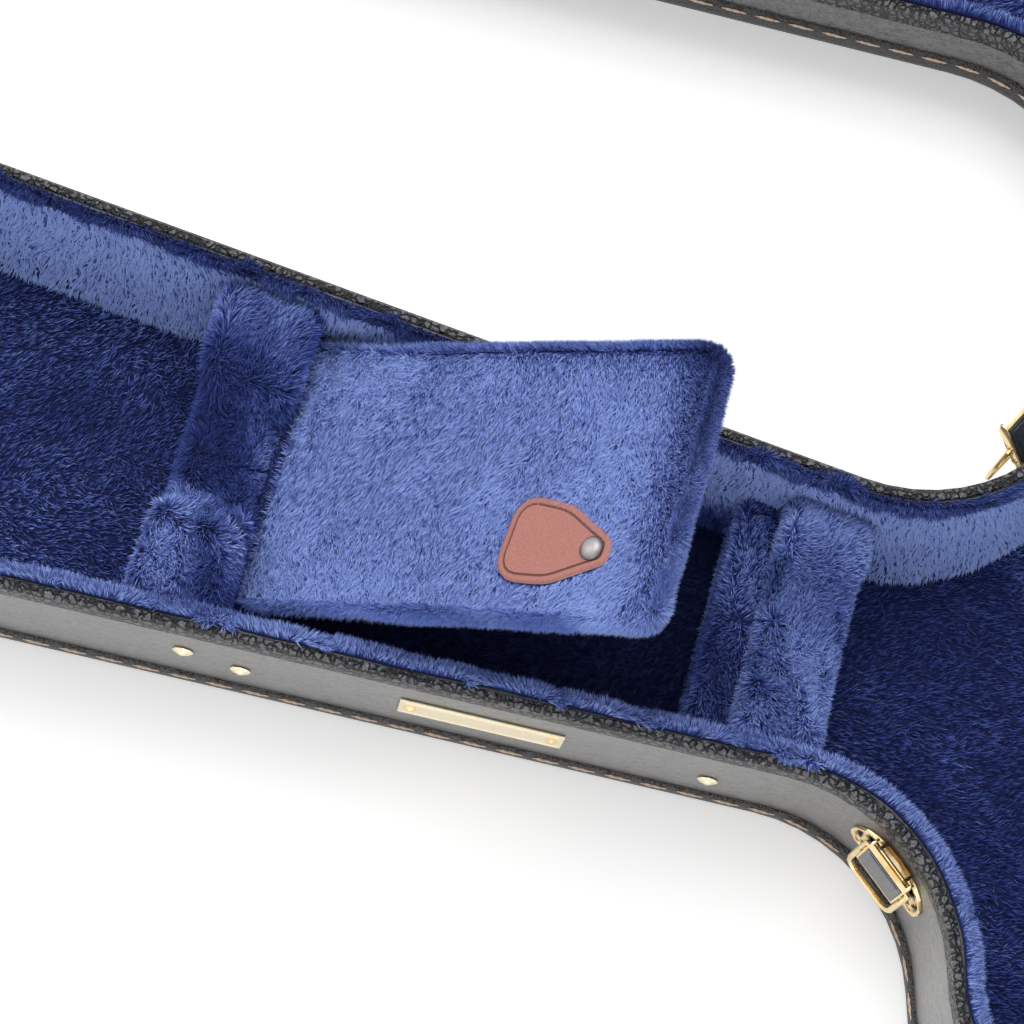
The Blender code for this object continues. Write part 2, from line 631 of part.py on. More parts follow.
def build_latches(brass, lid_axis):
    """Five draw latches: two in the throats, two on the front, one on the butt end."""
    left, right = [along_body(share) for share in FRONT_LATCH_SHARES]
    places = {
        "throat_front": (*throat_latch(-1, FRONT_THROAT_HEADING), THROAT_RADIUS, 0.0),
        "front_left": ((left, -BODY_HALF_WIDTH), -math.pi / 2, None, 0.0),
        "front_right": ((right, -BODY_HALF_WIDTH), -math.pi / 2, None, 0.0),
        "butt": ((CASE_LENGTH / 2, 0.0), 0.0, None, 0.0),
        "throat_back": (*throat_latch(1, BACK_THROAT_HEADING), THROAT_RADIUS, FAR_LEVER_OPEN),
    }
    plates = {bow: latch_plate(bow) for bow in (None, THROAT_RADIUS)}
    keepers = {bow: keeper_mesh(bow) for bow in (None, THROAT_RADIUS)}
    lever, bail = lever_mesh(), bail_mesh()
    for name, ((x, y), out_angle, bow, opened) in places.items():
        turn = Matrix.Rotation(out_angle - math.pi / 2, 4, "Z")
        rim = Matrix.Translation((x, y, BASE_DEPTH)) @ turn
        frame = pivot(f"latch_{name}_frame", (x, y, BASE_DEPTH), turn)
        add_object(f"latch_{name}_plate", plates[bow], brass, frame)

        pin = rim @ Vector((0.0, PIVOT_OUT, -PIVOT_DROP))
        lever_axis = pivot(f"latch_{name}_lever_axis", pin, turn @ Matrix.Rotation(opened, 4, "X"))
        add_object(f"latch_{name}_lever", lever, brass, lever_axis)
        bail_pin = lever_axis.matrix_world @ Vector((0.0, 0.0, -BAIL_DROP))
        bail_axis = pivot(f"latch_{name}_bail_axis", bail_pin, turn)
        add_object(f"latch_{name}_bail", bail, brass, bail_axis)

        # The keeper is placed on the closed lid, then carried by it
        on_lid = bpy.data.objects.new(f"latch_{name}_keeper_frame", None)
        bpy.context.scene.collection.objects.link(on_lid)
        on_lid.parent = lid_axis
        on_lid.matrix_local = Matrix.Translation(-HINGE_AXIS) @ rim
        add_object(f"latch_{name}_keeper", keepers[bow], brass, on_lid)
        pins = [[round(value, 5) for value in point] for point in (pin, bail_pin)]
        print(f"latch {name}: lever and bail pins {pins}, out {math.degrees(out_angle):.3f}")


def build_handle(leather, brass):
    axis_height = BASE_DEPTH - HANDLE_DROP
    axis_y = -BODY_HALF_WIDTH - HANDLE_OUT
    handle_x = along_body(HANDLE_SHARE)
    swing = pivot("handle_axis", (handle_x, axis_y, axis_height), Matrix.Rotation(math.pi, 4, "Z"))
    bore = HANDLE_PIN_RADIUS + GAP
    eye_middle = bore + HANDLE_EYE / 2
    strap = arc((0.0, 0.0), eye_middle, 180.0, -300.0, 10)
    eye_half = BRACKET_WIDTH / 2 - EAR_SHEET - GAP
    strap = strap[::-1]
    strap_path = strap + [(-eye_middle, -0.004), (-HANDLE_EYE / 2, -0.009), (-HANDLE_EYE / 2, -LINK_DROP)]
    link = extruded("link", sheet_profile(strap_path, HANDLE_EYE), eye_half)

    half_wide, half_high = BRACKET_WIDTH / 2, BRACKET_HEIGHT / 2
    plate = box((-half_wide, GAP, -half_high), (half_wide, GAP + PLATE_SHEET, half_high))
    parts = []
    for side in (-1, 1):
        low, high = sorted((side * (half_wide - EAR_SHEET), side * half_wide))
        profile = [(0.001, -0.006), (0.001, 0.006), (HANDLE_OUT, 0.0042), (HANDLE_OUT + 0.003, 0.003),
                   (HANDLE_OUT + 0.003, -0.003), (HANDLE_OUT, -0.0042)]
        parts.append(loft("ear", [[(u, out, up) for out, up in profile] for u in (low, high)]))
    parts.append(rod(HANDLE_PIN_RADIUS, half_wide - 0.0002, HANDLE_OUT, 0.0))
    bracket = boolean(plate, parts, "UNION")
    for name, side in (("left", -1), ("right", 1)):
        place = (handle_x + side * HANDLE_HALF_SPAN, -BODY_HALF_WIDTH, axis_height)
        mount = pivot(f"handle_{name}_frame", place, Matrix.Rotation(math.pi, 4, "Z"))
        add_object(f"handle_{name}_bracket", bracket, brass, mount)
        add_object(f"handle_{name}_link", link, brass, swing, (-side * HANDLE_HALF_SPAN, 0.0, 0.0))

    half = [(-HANDLE_HALF_SPAN, -LINK_DROP - GAP)]
    reach = GRIP_DROP - LINK_DROP - 0.003
    for step in range(6):
        angle = math.radians(90.0 * step / 5)
        inward = reach * (1 - math.cos(angle))
        half.append((inward - HANDLE_HALF_SPAN, reach * (1 - math.sin(angle)) - GRIP_DROP))
    path = half + [(-x, z) for x, z in reversed(half)]
    shares = [min(0.7 + 0.1 * step, 1.0) for step in range(len(half))]
    slim = [(GRIP_WIDTH * share, GRIP_THICKNESS * share) for share in shares]
    grip = swept("grip", path, slim + slim[::-1], 12)
    add_object("handle_grip", grip, leather, swing)


def build_trim(brass):
    """Nameplate and the nails that hold the cross pieces, set square on the tapering walls."""
    slope = math.atan(TAPER)

    def on_wall(name, x, z, side):
        angle = -slope if side > 0 else math.pi + slope
        return pivot(name, (x, side * neck_half_width(x), z), Matrix.Rotation(angle, 4, "Z"))

    plate_frame = on_wall("nameplate_frame", NAMEPLATE_CENTRE_X, NAMEPLATE_Z, -1)
    half_length, half_height = NAMEPLATE_LENGTH / 2, NAMEPLATE_HEIGHT / 2
    corners = [(x * half_length, z * half_height, 0.0012, 2) for x, z in ((-1, -1), (1, -1), (1, 1), (-1, 1))]
    rings = []
    chamfer = NAMEPLATE_THICKNESS * 0.35
    for inset, out in ((0.0, GAP), (0.0, NAMEPLATE_THICKNESS - chamfer), (chamfer, NAMEPLATE_THICKNESS)):
        rings.append([(p.x, out, p.y) for p in rounded_polygon(corners, inset)])
    add_object("nameplate", loft("nameplate", rings), brass, plate_frame)

    dome = [(NAIL_RADIUS, GAP), (NAIL_RADIUS, 0.0009), (NAIL_RADIUS * 0.82, NAIL_HEIGHT * 0.72),
            (NAIL_RADIUS * 0.45, NAIL_HEIGHT)]
    nail = turned("nail", dome, 12)
    for side, label in ((-1, "front"), (1, "back")):
        for number, (x, z) in enumerate(NAIL_PLACES, 1):
            frame = on_wall(f"{label}_nail_{number}_frame", x, z, side)
            add_object(f"{label}_nail_{number}", nail, brass, frame)


def main():
    clear_scene()
    materials = {
        "leatherette": finish_material("black_leatherette", (0.055, 0.053, 0.055), 0.5),
        "binding": finish_material("black_binding", (0.02, 0.018, 0.018), 0.35),
        "piping": finish_material("dark_piping", (0.035, 0.024, 0.02), 0.4),
        "plush": finish_material("blue_plush", (0.045, 0.075, 0.29), 0.9),
    }
    brass = finish_material("gold_plated_brass", (0.83, 0.62, 0.25), 0.22, 1.0)
    steel = finish_material("satin_rivet", (0.5, 0.48, 0.45), 0.35, 1.0)
    tab_leather = finish_material("brown_leather", (0.30, 0.10, 0.075), 0.5)
    grip_leather = finish_material("grip_leather", (0.025, 0.022, 0.022), 0.4)

    lid_axis = pivot("lid_axis", HINGE_AXIS, Matrix.Rotation(-lid_rest_angle(), 4, "X"))
    build_shell("base", BASE_DEPTH, lambda z: z, materials, None, (0.0, 0.0, 0.0))
    build_shell("lid", LID_DEPTH, lambda z: LID_TOP - z, materials, lid_axis, -HINGE_AXIS)
    hinge_line = build_interior(materials["plush"], tab_leather, steel)
    build_hinges(brass, lid_axis)
    build_latches(brass, lid_axis)
    build_handle(grip_leather, brass)
    build_trim(brass)
    print("hinges at", [round(along_body(share), 5) for share in HINGE_SHARES])
    print("handle at", round(along_body(HANDLE_SHARE), 5))
    print("lid opens by", math.degrees(lid_rest_angle()), "about", tuple(HINGE_AXIS))
    print("compartment lid turns about", hinge_line)


main()
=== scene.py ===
"""Looks of an open electric guitar case: leatherette over plywood, blue plush inside, gilt fittings."""

import json
import math

import bmesh
import bpy
import numpy as np
from mathutils import Matrix, Vector
from mathutils.bvhtree import BVHTree
from mathutils.kdtree import KDTree

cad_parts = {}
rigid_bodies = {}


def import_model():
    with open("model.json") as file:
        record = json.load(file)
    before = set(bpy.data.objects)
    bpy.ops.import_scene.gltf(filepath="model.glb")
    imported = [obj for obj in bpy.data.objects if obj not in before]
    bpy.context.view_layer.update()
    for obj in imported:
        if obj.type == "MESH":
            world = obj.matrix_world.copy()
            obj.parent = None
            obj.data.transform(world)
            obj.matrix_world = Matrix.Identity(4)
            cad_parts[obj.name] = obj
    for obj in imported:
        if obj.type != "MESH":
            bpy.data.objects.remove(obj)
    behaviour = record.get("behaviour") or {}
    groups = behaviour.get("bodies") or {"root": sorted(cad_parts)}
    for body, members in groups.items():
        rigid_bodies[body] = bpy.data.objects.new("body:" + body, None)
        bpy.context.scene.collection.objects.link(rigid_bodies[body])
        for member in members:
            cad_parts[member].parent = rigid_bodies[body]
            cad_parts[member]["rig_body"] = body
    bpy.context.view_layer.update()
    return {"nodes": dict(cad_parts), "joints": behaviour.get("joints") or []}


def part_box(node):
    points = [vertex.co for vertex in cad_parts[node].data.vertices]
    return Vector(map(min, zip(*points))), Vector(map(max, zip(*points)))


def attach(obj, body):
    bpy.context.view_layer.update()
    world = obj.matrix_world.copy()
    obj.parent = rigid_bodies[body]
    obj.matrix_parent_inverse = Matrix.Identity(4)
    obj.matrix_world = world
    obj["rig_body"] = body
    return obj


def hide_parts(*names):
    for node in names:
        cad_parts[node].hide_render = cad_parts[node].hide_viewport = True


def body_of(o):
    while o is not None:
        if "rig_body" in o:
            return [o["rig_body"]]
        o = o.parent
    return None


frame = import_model()
nodes = frame["nodes"]

# Camera: it stands above the neck and a little in front of it, with the long lens of a product
# photograph, and is rolled so that the neck falls towards the lower right.
camera = bpy.data.objects.new("camera", bpy.data.cameras.new("camera"))
bpy.context.scene.collection.objects.link(camera)
camera.data.lens = 101.1
camera.data.sensor_width = 36.0
CAMERA_PLACE = (-0.15402, -0.41433, 1.28815)
right = Vector((0.95781156, 0.26420733, 0.11309955))
up = Vector((-0.28667238, 0.90623428, 0.31073845))
back = Vector((-0.02039531, -0.3300514, 0.94374261))
turned = Matrix((right, up, back)).transposed().to_4x4()
camera.matrix_world = Matrix.Translation(CAMERA_PLACE) @ turned
bpy.context.scene.camera = camera
bpy.context.scene.view_settings.view_transform = "Standard"


# Studio: a pale floor with soft light from large panels, one overhead, one low in front that
# glances off the front wall, and one from the head end. Only the camera, glossy and transmitted
# rays see the background at full white and the floor's glow.
def add_node(tree, kind, inputs=None, **settings):
    """A shader node, with its inputs given as values or as other nodes' outputs."""
    node = tree.nodes.new("ShaderNode" + kind)
    for name, value in settings.items():
        setattr(node, name, value)
    for name, value in (inputs or {}).items():
        if isinstance(value, bpy.types.NodeSocket):
            tree.links.new(value, node.inputs[name])
        else:
            node.inputs[name].default_value = value
    return node


def seen_directly(tree):
    """1 for camera, glossy and transmitted rays, and 0 for those that light the object."""
    path = add_node(tree, "LightPath").outputs
    gloss = add_node(tree, "Math", {0: path["Is Camera Ray"], 1: path["Is Glossy Ray"]}, operation="MAXIMUM")
    seen = add_node(tree, "Math", {0: gloss.outputs[0], 1: path["Is Transmission Ray"]}, operation="MAXIMUM")
    return seen.outputs[0]


FLOOR_DROP = 0.0004
FLOOR_GLOW = 0.42
WORLD_LIGHT = 0.42

bpy.ops.mesh.primitive_plane_add(size=40.0, location=(0.0, 0.0, -FLOOR_DROP))
floor = bpy.context.active_object
floor.name = "floor"
paper = bpy.data.materials.new("pale_floor")
paper.use_nodes = True
tree = paper.node_tree
shader = tree.nodes["Principled BSDF"]
shader.inputs["Base Color"].default_value = (0.86, 0.86, 0.86, 1.0)
shader.inputs["Roughness"].default_value = 0.75
shader.inputs["Specular IOR Level"].default_value = 0.15
glow = add_node(tree, "Math", {0: seen_directly(tree), 1: FLOOR_GLOW}, operation="MULTIPLY")
shader.inputs["Emission Color"].default_value = (1.0, 1.0, 1.0, 1.0)
tree.links.new(glow.outputs[0], shader.inputs["Emission Strength"])
floor.data.materials.append(paper)

world = bpy.data.worlds.new("studio")
bpy.context.scene.world = world
world.use_nodes = True
tree = world.node_tree
strength = add_node(tree, "MapRange", {"Value": seen_directly(tree), "To Min": WORLD_LIGHT, "To Max": 1.0})
tree.links.new(strength.outputs[0], tree.nodes["Background"].inputs["Strength"])
tree.nodes["Background"].inputs["Color"].default_value = (1.0, 1.0, 1.0, 1.0)

for name, place, size, power in (
    ("overhead", (-0.5, 0.9, 2.2), 1.6, 26.0),
    ("front", (0.1, -2.0, 0.75), 1.3, 9.0),
    ("head_end", (-2.2, 0.2, 1.3), 1.2, 9.0),
):
    bpy.ops.object.light_add(type="AREA", location=place)
    lamp = bpy.context.active_object
    lamp.name = name + "_light"
    lamp.data.size = size
    lamp.data.energy = power
    lamp.rotation_euler = Vector(place).to_track_quat("Z", "Y").to_euler()


# Side walls and panels: bent plywood under black leatherette, whose fine grain runs nearly along
# the wall in short wavy ridges that catch the light, and whose ridges are also painted lighter as a
# painted highlight, with the troughs and pores painted darker as painted shade. The CAD shapes are
# right, so each is copied, its faces are joined and its curves shaded smooth.
WELD = 0.00002


def select_only(*pieces):
    bpy.ops.object.select_all(action="DESELECT")
    for piece in pieces:
        piece.select_set(True)
    bpy.context.view_layer.objects.active = pieces[0]


def apply_modifier(piece, kind, **settings):
    select_only(piece)
    bpy.ops.object.modifier_add(type=kind)
    modifier = piece.modifiers[-1]
    for name, value in settings.items():
        setattr(modifier, name, value)
    bpy.ops.object.modifier_apply(modifier=modifier.name)


def linked_piece(name, mesh):
    piece = bpy.data.objects.new(name, mesh)
    bpy.context.scene.collection.objects.link(piece)
    return piece


def refined(node, body, name, bevel=0.0):
    """A copy of a CAD node with joined faces, softened edges and smooth curves, that stands for it."""
    piece = linked_piece(name, nodes[node].data.copy())
    select_only(piece)
    bpy.ops.object.mode_set(mode="EDIT")
    bpy.ops.mesh.select_all(action="SELECT")
    bpy.ops.mesh.remove_doubles(threshold=WELD)
    bpy.ops.mesh.dissolve_limited(angle_limit=math.radians(0.5))
    bpy.ops.object.mode_set(mode="OBJECT")
    if bevel:
        apply_modifier(piece, "BEVEL", width=bevel, segments=2, limit_method="ANGLE", angle_limit=0.6)
    select_only(piece)
    bpy.ops.object.shade_smooth_by_angle(angle=math.radians(32.0))
    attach(piece, body)
    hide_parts(node)
    return piece


def give_finish(piece, material):
    piece.data.materials.clear()
    piece.data.materials.append(material)


def new_finish(name, colour, roughness, metallic=0.0):
    material = bpy.data.materials.new(name)
    material.use_nodes = True
    shader = material.node_tree.nodes["Principled BSDF"]
    shader.inputs["Base Color"].default_value = (*colour, 1.0)
    shader.inputs["Roughness"].default_value = roughness
    shader.inputs["Metallic"].default_value = metallic
    return material, material.node_tree, shader


def object_place(tree, scale=(1.0, 1.0, 1.0), rotation=(0.0, 0.0, 0.0)):
    """Object coordinates, scaled and turned."""
    place = add_node(tree, "TexCoord").outputs["Object"]
    mapping = add_node(tree, "Mapping", {"Vector": place, "Scale": scale, "Rotation": rotation})
    return mapping.outputs["Vector"]


def colour_by(tree, shader, value, *stops):
    """Colours a finish by a ramp through (position, colour) stops."""
    node = add_node(tree, "ValToRGB", {"Fac": value})
    points = node.color_ramp.elements
    while len(points) < len(stops):
        points.new(0.5)
    for point, (position, colour) in zip(points, stops):
        point.position = position
        point.color = (*colour, 1.0)
    tree.links.new(node.outputs["Color"], shader.inputs["Base Color"])


def emboss(tree, shader, height, depth, strength=1.0):
    bump = add_node(tree, "Bump", {"Height": height, "Distance": depth, "Strength": strength})
    tree.links.new(bump.outputs["Normal"], shader.inputs["Normal"])


leatherette, tree, shader = new_finish("black_leatherette", (0.1, 0.1, 0.102), 0.4)
shader.inputs["Specular IOR Level"].default_value = 0.6
shader.inputs["Coat Weight"].default_value = 1.0
shader.inputs["Coat Roughness"].default_value = 0.42
shader.inputs["Coat IOR"].default_value = 1.6
shader.inputs["Sheen Weight"].default_value = 0.85
shader.inputs["Sheen Roughness"].default_value = 0.3
ridges = add_node(tree, "TexNoise", {
    "Vector": object_place(tree, (0.5, 0.6, 1.0), (0.0, math.radians(14.0), 0.0)),
    "Scale": 430.0, "Detail": 2.0, "Roughness": 0.6, "Distortion": 1.4})
pores = add_node(tree, "TexVoronoi", {"Vector": object_place(tree), "Scale": 1500.0})
grain_and_painted_light = add_node(tree, "Mix", {"Factor": 0.22, "A": ridges.outputs["Fac"], "B": pores.outputs["Distance"]})
wear = add_node(tree, "TexNoise", {"Vector": object_place(tree), "Scale": 28.0, "Detail": 4.0})
# Painted highlight on the ridges, and painted shade in the troughs and pores
colour_by(tree, shader, grain_and_painted_light.outputs["Result"], (0.38, (0.006, 0.006, 0.007)), (0.54, (0.17, 0.167, 0.17)))
gloss = add_node(tree, "MapRange", {"Value": wear.outputs["Fac"], "To Min": 0.3, "To Max": 0.46})
tree.links.new(gloss.outputs["Result"], shader.inputs["Roughness"])
emboss(tree, shader, grain_and_painted_light.outputs["Result"], 0.0028)

# The base's wall is painted darker in the corner above its piping, as painted shade
CORNER_LOW = 0.009
CORNER_HIGH = 0.022
corner_shaded_leatherette = leatherette.copy()
corner_shaded_leatherette.name = "corner_shaded_leatherette"
tree = corner_shaded_leatherette.node_tree
shader = tree.nodes["Principled BSDF"]
tint = shader.inputs["Base Color"].links[0].from_socket
height = add_node(tree, "SeparateXYZ", {"Vector": object_place(tree)}).outputs["Z"]
# Painted shade: the base colour darkens towards the piping below this height
corner = add_node(tree, "MapRange", {"Value": height, "From Min": CORNER_LOW, "From Max": CORNER_HIGH})
shaded = add_node(tree, "Mix", {0: corner.outputs["Result"], 6: (0.006, 0.006, 0.006, 1.0), 7: tint},
                  data_type="RGBA")
tree.links.new(shaded.outputs[2], shader.inputs["Base Color"])

for node, body, finish in (
    ("base_side_wall", "base", corner_shaded_leatherette), ("base_bottom_panel", "base", leatherette),
    ("lid_side_wall", "lid", leatherette), ("lid_top_panel", "lid", leatherette),
):
    give_finish(refined(node, body, node + "_cover"), finish)

# Rim bindings: a folded strip of pebbled black leather glued over the plywood edge of each half.
# Its pebbles are about 3 mm wide and shine on their crowns, which are also painted lighter as a
# painted highlight, with the creases painted darker as painted shade.
pebbled, tree, shader = new_finish("pebbled_binding", (0.03, 0.03, 0.032), 0.32)
shader.inputs["Specular IOR Level"].default_value = 0.8
drift = add_node(tree, "TexNoise", {"Vector": object_place(tree), "Scale": 300.0, "Detail": 2.0})
place = add_node(tree, "Mix", {0: 0.0045, 4: object_place(tree), 5: drift.outputs["Color"]},
                 data_type="VECTOR")
creases = add_node(tree, "TexVoronoi", {"Vector": place.outputs[1], "Scale": 285.0},
                   feature="DISTANCE_TO_EDGE")
wrinkles = add_node(tree, "TexVoronoi", {"Vector": place.outputs[1], "Scale": 900.0})
crown_height_and_highlight = add_node(tree, "MapRange", {"Value": creases.outputs["Distance"], "From Max": 0.19})
height = add_node(tree, "Math", {0: wrinkles.outputs["Distance"], 1: -0.5, 2: crown_height_and_highlight.outputs["Result"]},
                  operation="MULTIPLY_ADD")
# Painted highlight on the crowns, and painted shade in the creases
colour_by(tree, shader, height.outputs[0], (0.0, (0.003, 0.003, 0.004)), (0.4, (0.022, 0.022, 0.025)),
          (0.85, (0.17, 0.17, 0.185)))
emboss(tree, shader, height.outputs[0], 0.0016)

for half in ("base", "lid"):
    give_finish(refined(half + "_rim_binding", half, half + "_binding_strip"), pebbled)

# Edge piping: a dark leather roll round the bottom edge, sewn on with a pale twisted thread. Each
# stitch is a short two-ply length that lies on the roll's shoulder.
piping_skin, tree, shader = new_finish("dark_piping", (0.035, 0.031, 0.031), 0.4)
shader.inputs["Specular IOR Level"].default_value = 0.6
weave = add_node(tree, "TexVoronoi", {"Vector": object_place(tree), "Scale": 900.0})
colour_by(tree, shader, weave.outputs["Distance"], (0.2, (0.07, 0.065, 0.067)), (0.7, (0.012, 0.01, 0.01)))
emboss(tree, shader, weave.outputs["Distance"], 0.0007)

thread, tree, shader = new_finish("pale_thread", (0.78, 0.48, 0.32), 0.5)
fibres = add_node(tree, "TexNoise", {"Vector": object_place(tree), "Scale": 2600.0, "Detail": 2.0})
colour_by(tree, shader, fibres.outputs["Fac"], (0.35, (0.62, 0.38, 0.25)), (0.65, (0.98, 0.8, 0.64)))

STITCH_LENGTH = 0.0125
STITCH_RADIUS = 0.00072
STITCH_STEPS = 8
STITCH_TURNS = 1.5
STITCH_PITCH = 0.017
STITCH_LIFT = 0.0006
STITCH_SINK = 0.0001
SEAM_HEIGHT = 0.00768


def loop_through(edges):
    """The vertices of a run of edges, in order."""
    beside = {}
    for edge in edges:
        for one, other in (edge.verts, reversed(edge.verts)):
            beside.setdefault(one, []).append(other)
    first = next(iter(beside))
    loop = [first, beside[first][0]]
    while True:
        onward = [vert for vert in beside[loop[-1]] if vert is not loop[-2]]
        if not onward or onward[0] is first:
            return loop
        loop.append(onward[0])


def ring_at(node, axis, height):
    """Points of a CAD loop that runs round the case this far above the half's outer face, in order."""
    shape = bmesh.new()
    shape.from_mesh(nodes[node].data)
    bmesh.ops.remove_doubles(shape, verts=shape.verts, dist=WELD)
    level = min(vert.co.dot(axis) for vert in shape.verts) + height
    level_edges = [edge for edge in shape.edges
                   if all(abs(vert.co.dot(axis) - level) < 0.00005 for vert in edge.verts)]
    points = np.array([vert.co for vert in loop_through(level_edges)])
    shape.free()
    return points


def outward_of(points, axis):
    """Unit vectors that point out of a closed loop, at right angles to it and the axis."""
    ahead = np.roll(points, -1, axis=0) - np.roll(points, 1, axis=0)
    outward = np.cross(ahead, axis)
    outward /= np.linalg.norm(outward, axis=1, keepdims=True)
    return outward * math.copysign(1.0, (outward * (points - points.mean(axis=0))).sum())


# One stitch: a flattened rod along X, turned as it goes, with pinched ends
bpy.ops.object.select_all(action="DESELECT")
bpy.ops.mesh.primitive_cylinder_add(vertices=6, radius=STITCH_RADIUS, depth=STITCH_LENGTH,
                                    end_fill_type="TRIFAN", rotation=(0.0, math.pi / 2, 0.0))
stitch = bpy.context.active_object
bpy.ops.object.transform_apply()
bpy.ops.object.mode_set(mode="EDIT")
for step in range(1, STITCH_STEPS):
    bpy.ops.mesh.select_all(action="SELECT")
    bpy.ops.mesh.bisect(plane_co=(STITCH_LENGTH * (step / STITCH_STEPS - 0.5), 0.0, 0.0),
                        plane_no=(1.0, 0.0, 0.0))
bpy.ops.object.mode_set(mode="OBJECT")
stitch_points = np.array([vert.co for vert in stitch.data.vertices])
turns = stitch_points[:, 0] / STITCH_LENGTH * 2.0 * math.pi * STITCH_TURNS
taper = np.clip(1.45 - 2.2 * np.abs(stitch_points[:, 0]) / STITCH_LENGTH, 0.25, 1.0)
thin, wide = 0.72 * stitch_points[:, 1] * taper, 1.15 * stitch_points[:, 2] * taper
stitch_points[:, 1] = thin * np.cos(turns) - wide * np.sin(turns)
stitch_points[:, 2] = thin * np.sin(turns) + wide * np.cos(turns)
stitch_faces = [tuple(face.vertices) for face in stitch.data.polygons]
bpy.data.objects.remove(stitch)

LID_LEAN = math.radians(6.3235)
LID_AXIS = (0.0, math.sin(LID_LEAN), math.cos(LID_LEAN))
for half, axis in (("base", (0.0, 0.0, 1.0)), ("lid", LID_AXIS)):
    give_finish(refined(half + "_edge_piping", half, half + "_piping_roll"), piping_skin)
    ring = ring_at(half + "_edge_piping", Vector(axis), SEAM_HEIGHT)
    outward = outward_of(ring, axis)
    steps = np.linalg.norm(np.roll(ring, -1, axis=0) - ring, axis=1)
    along = np.concatenate([[0.0], np.cumsum(steps)])
    total = along[-1]
    count = int(total / STITCH_PITCH)
    spots = (np.arange(count) + 0.5) * total / count
    looped = np.vstack([ring, ring[:1]])
    facing = np.vstack([outward, outward[:1]])
    middle = np.stack([np.interp(spots, along, looped[:, side]) for side in range(3)], axis=1)
    out = np.stack([np.interp(spots, along, facing[:, side]) for side in range(3)], axis=1)
    out /= np.linalg.norm(out, axis=1, keepdims=True)
    run = np.cross(axis, out)
    lifted = middle - STITCH_SINK * out + STITCH_LIFT * np.array(axis)
    points = (lifted[:, None] + stitch_points[None, :, :1] * run[:, None]
              + stitch_points[None, :, 1:2] * out[:, None] + stitch_points[None, :, 2:] * np.array(axis))
    faces = [tuple(corner + number * len(stitch_points) for corner in face)
             for number in range(count) for face in stitch_faces]
    mesh = bpy.data.meshes.new(half + "_piping_stitches")
    mesh.from_pydata(points.reshape(-1, 3), [], faces)
    stitches = linked_piece(half + "_piping_stitches", mesh)
    give_finish(stitches, thread)
    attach(stitches, half)


# Plush lining: long-pile blue plush glued to foam. Its backing is a skin in even faces, and the
# pile on it is thousands of tapering tufts that lean the way the cloth was brushed.
plush, tree, shader = new_finish("blue_plush", (0.1, 0.14, 0.4), 0.75)
pile = add_node(tree, "Attribute", attribute_name="pile").outputs["Fac"]
# The ramp's dark low end, used by the tufts' roots and the backing, is painted shade among the tufts
colour_by(tree, shader, pile, (0.0, (0.002, 0.004, 0.024)), (0.3, (0.014, 0.028, 0.17)),
          (0.65, (0.115, 0.18, 0.6)), (1.0, (0.42, 0.56, 1.0)))
shader.inputs["Sheen Weight"].default_value = 0.25
shader.inputs["Sheen Roughness"].default_value = 0.45
shader.inputs["Sheen Tint"].default_value = (0.45, 0.55, 1.0, 1.0)
shader.inputs["Specular IOR Level"].default_value = 0.25


def tree_of(names):
    """Ray-cast tree of CAD nodes."""
    shape = bmesh.new()
    for name in names:
        shape.from_mesh(nodes[name].data)
    found = BVHTree.FromBMesh(shape)
    shape.free()
    return found


BROAD_SWIRL = 0.03
FINE_SWIRL = 0.0045
SWIRL_WAVES = 10


def swirl(points, size, seed):
    """Smooth random vectors that change over about this distance."""
    random = np.random.default_rng(seed)
    field = np.zeros_like(points)
    for _ in range(SWIRL_WAVES):
        wave = random.normal(0.0, 1.0 / size, 3)
        phase = random.uniform(0.0, 2.0 * math.pi, 3)
        field += np.sin((points @ wave)[:, None] + phase)
    return field / math.sqrt(0.5 * SWIRL_WAVES)


def at_roots(value, roots, outward):
    """A tuft setting's value at each root, for a number or a function."""
    return value(roots, outward) if callable(value) else np.full(len(roots), value)


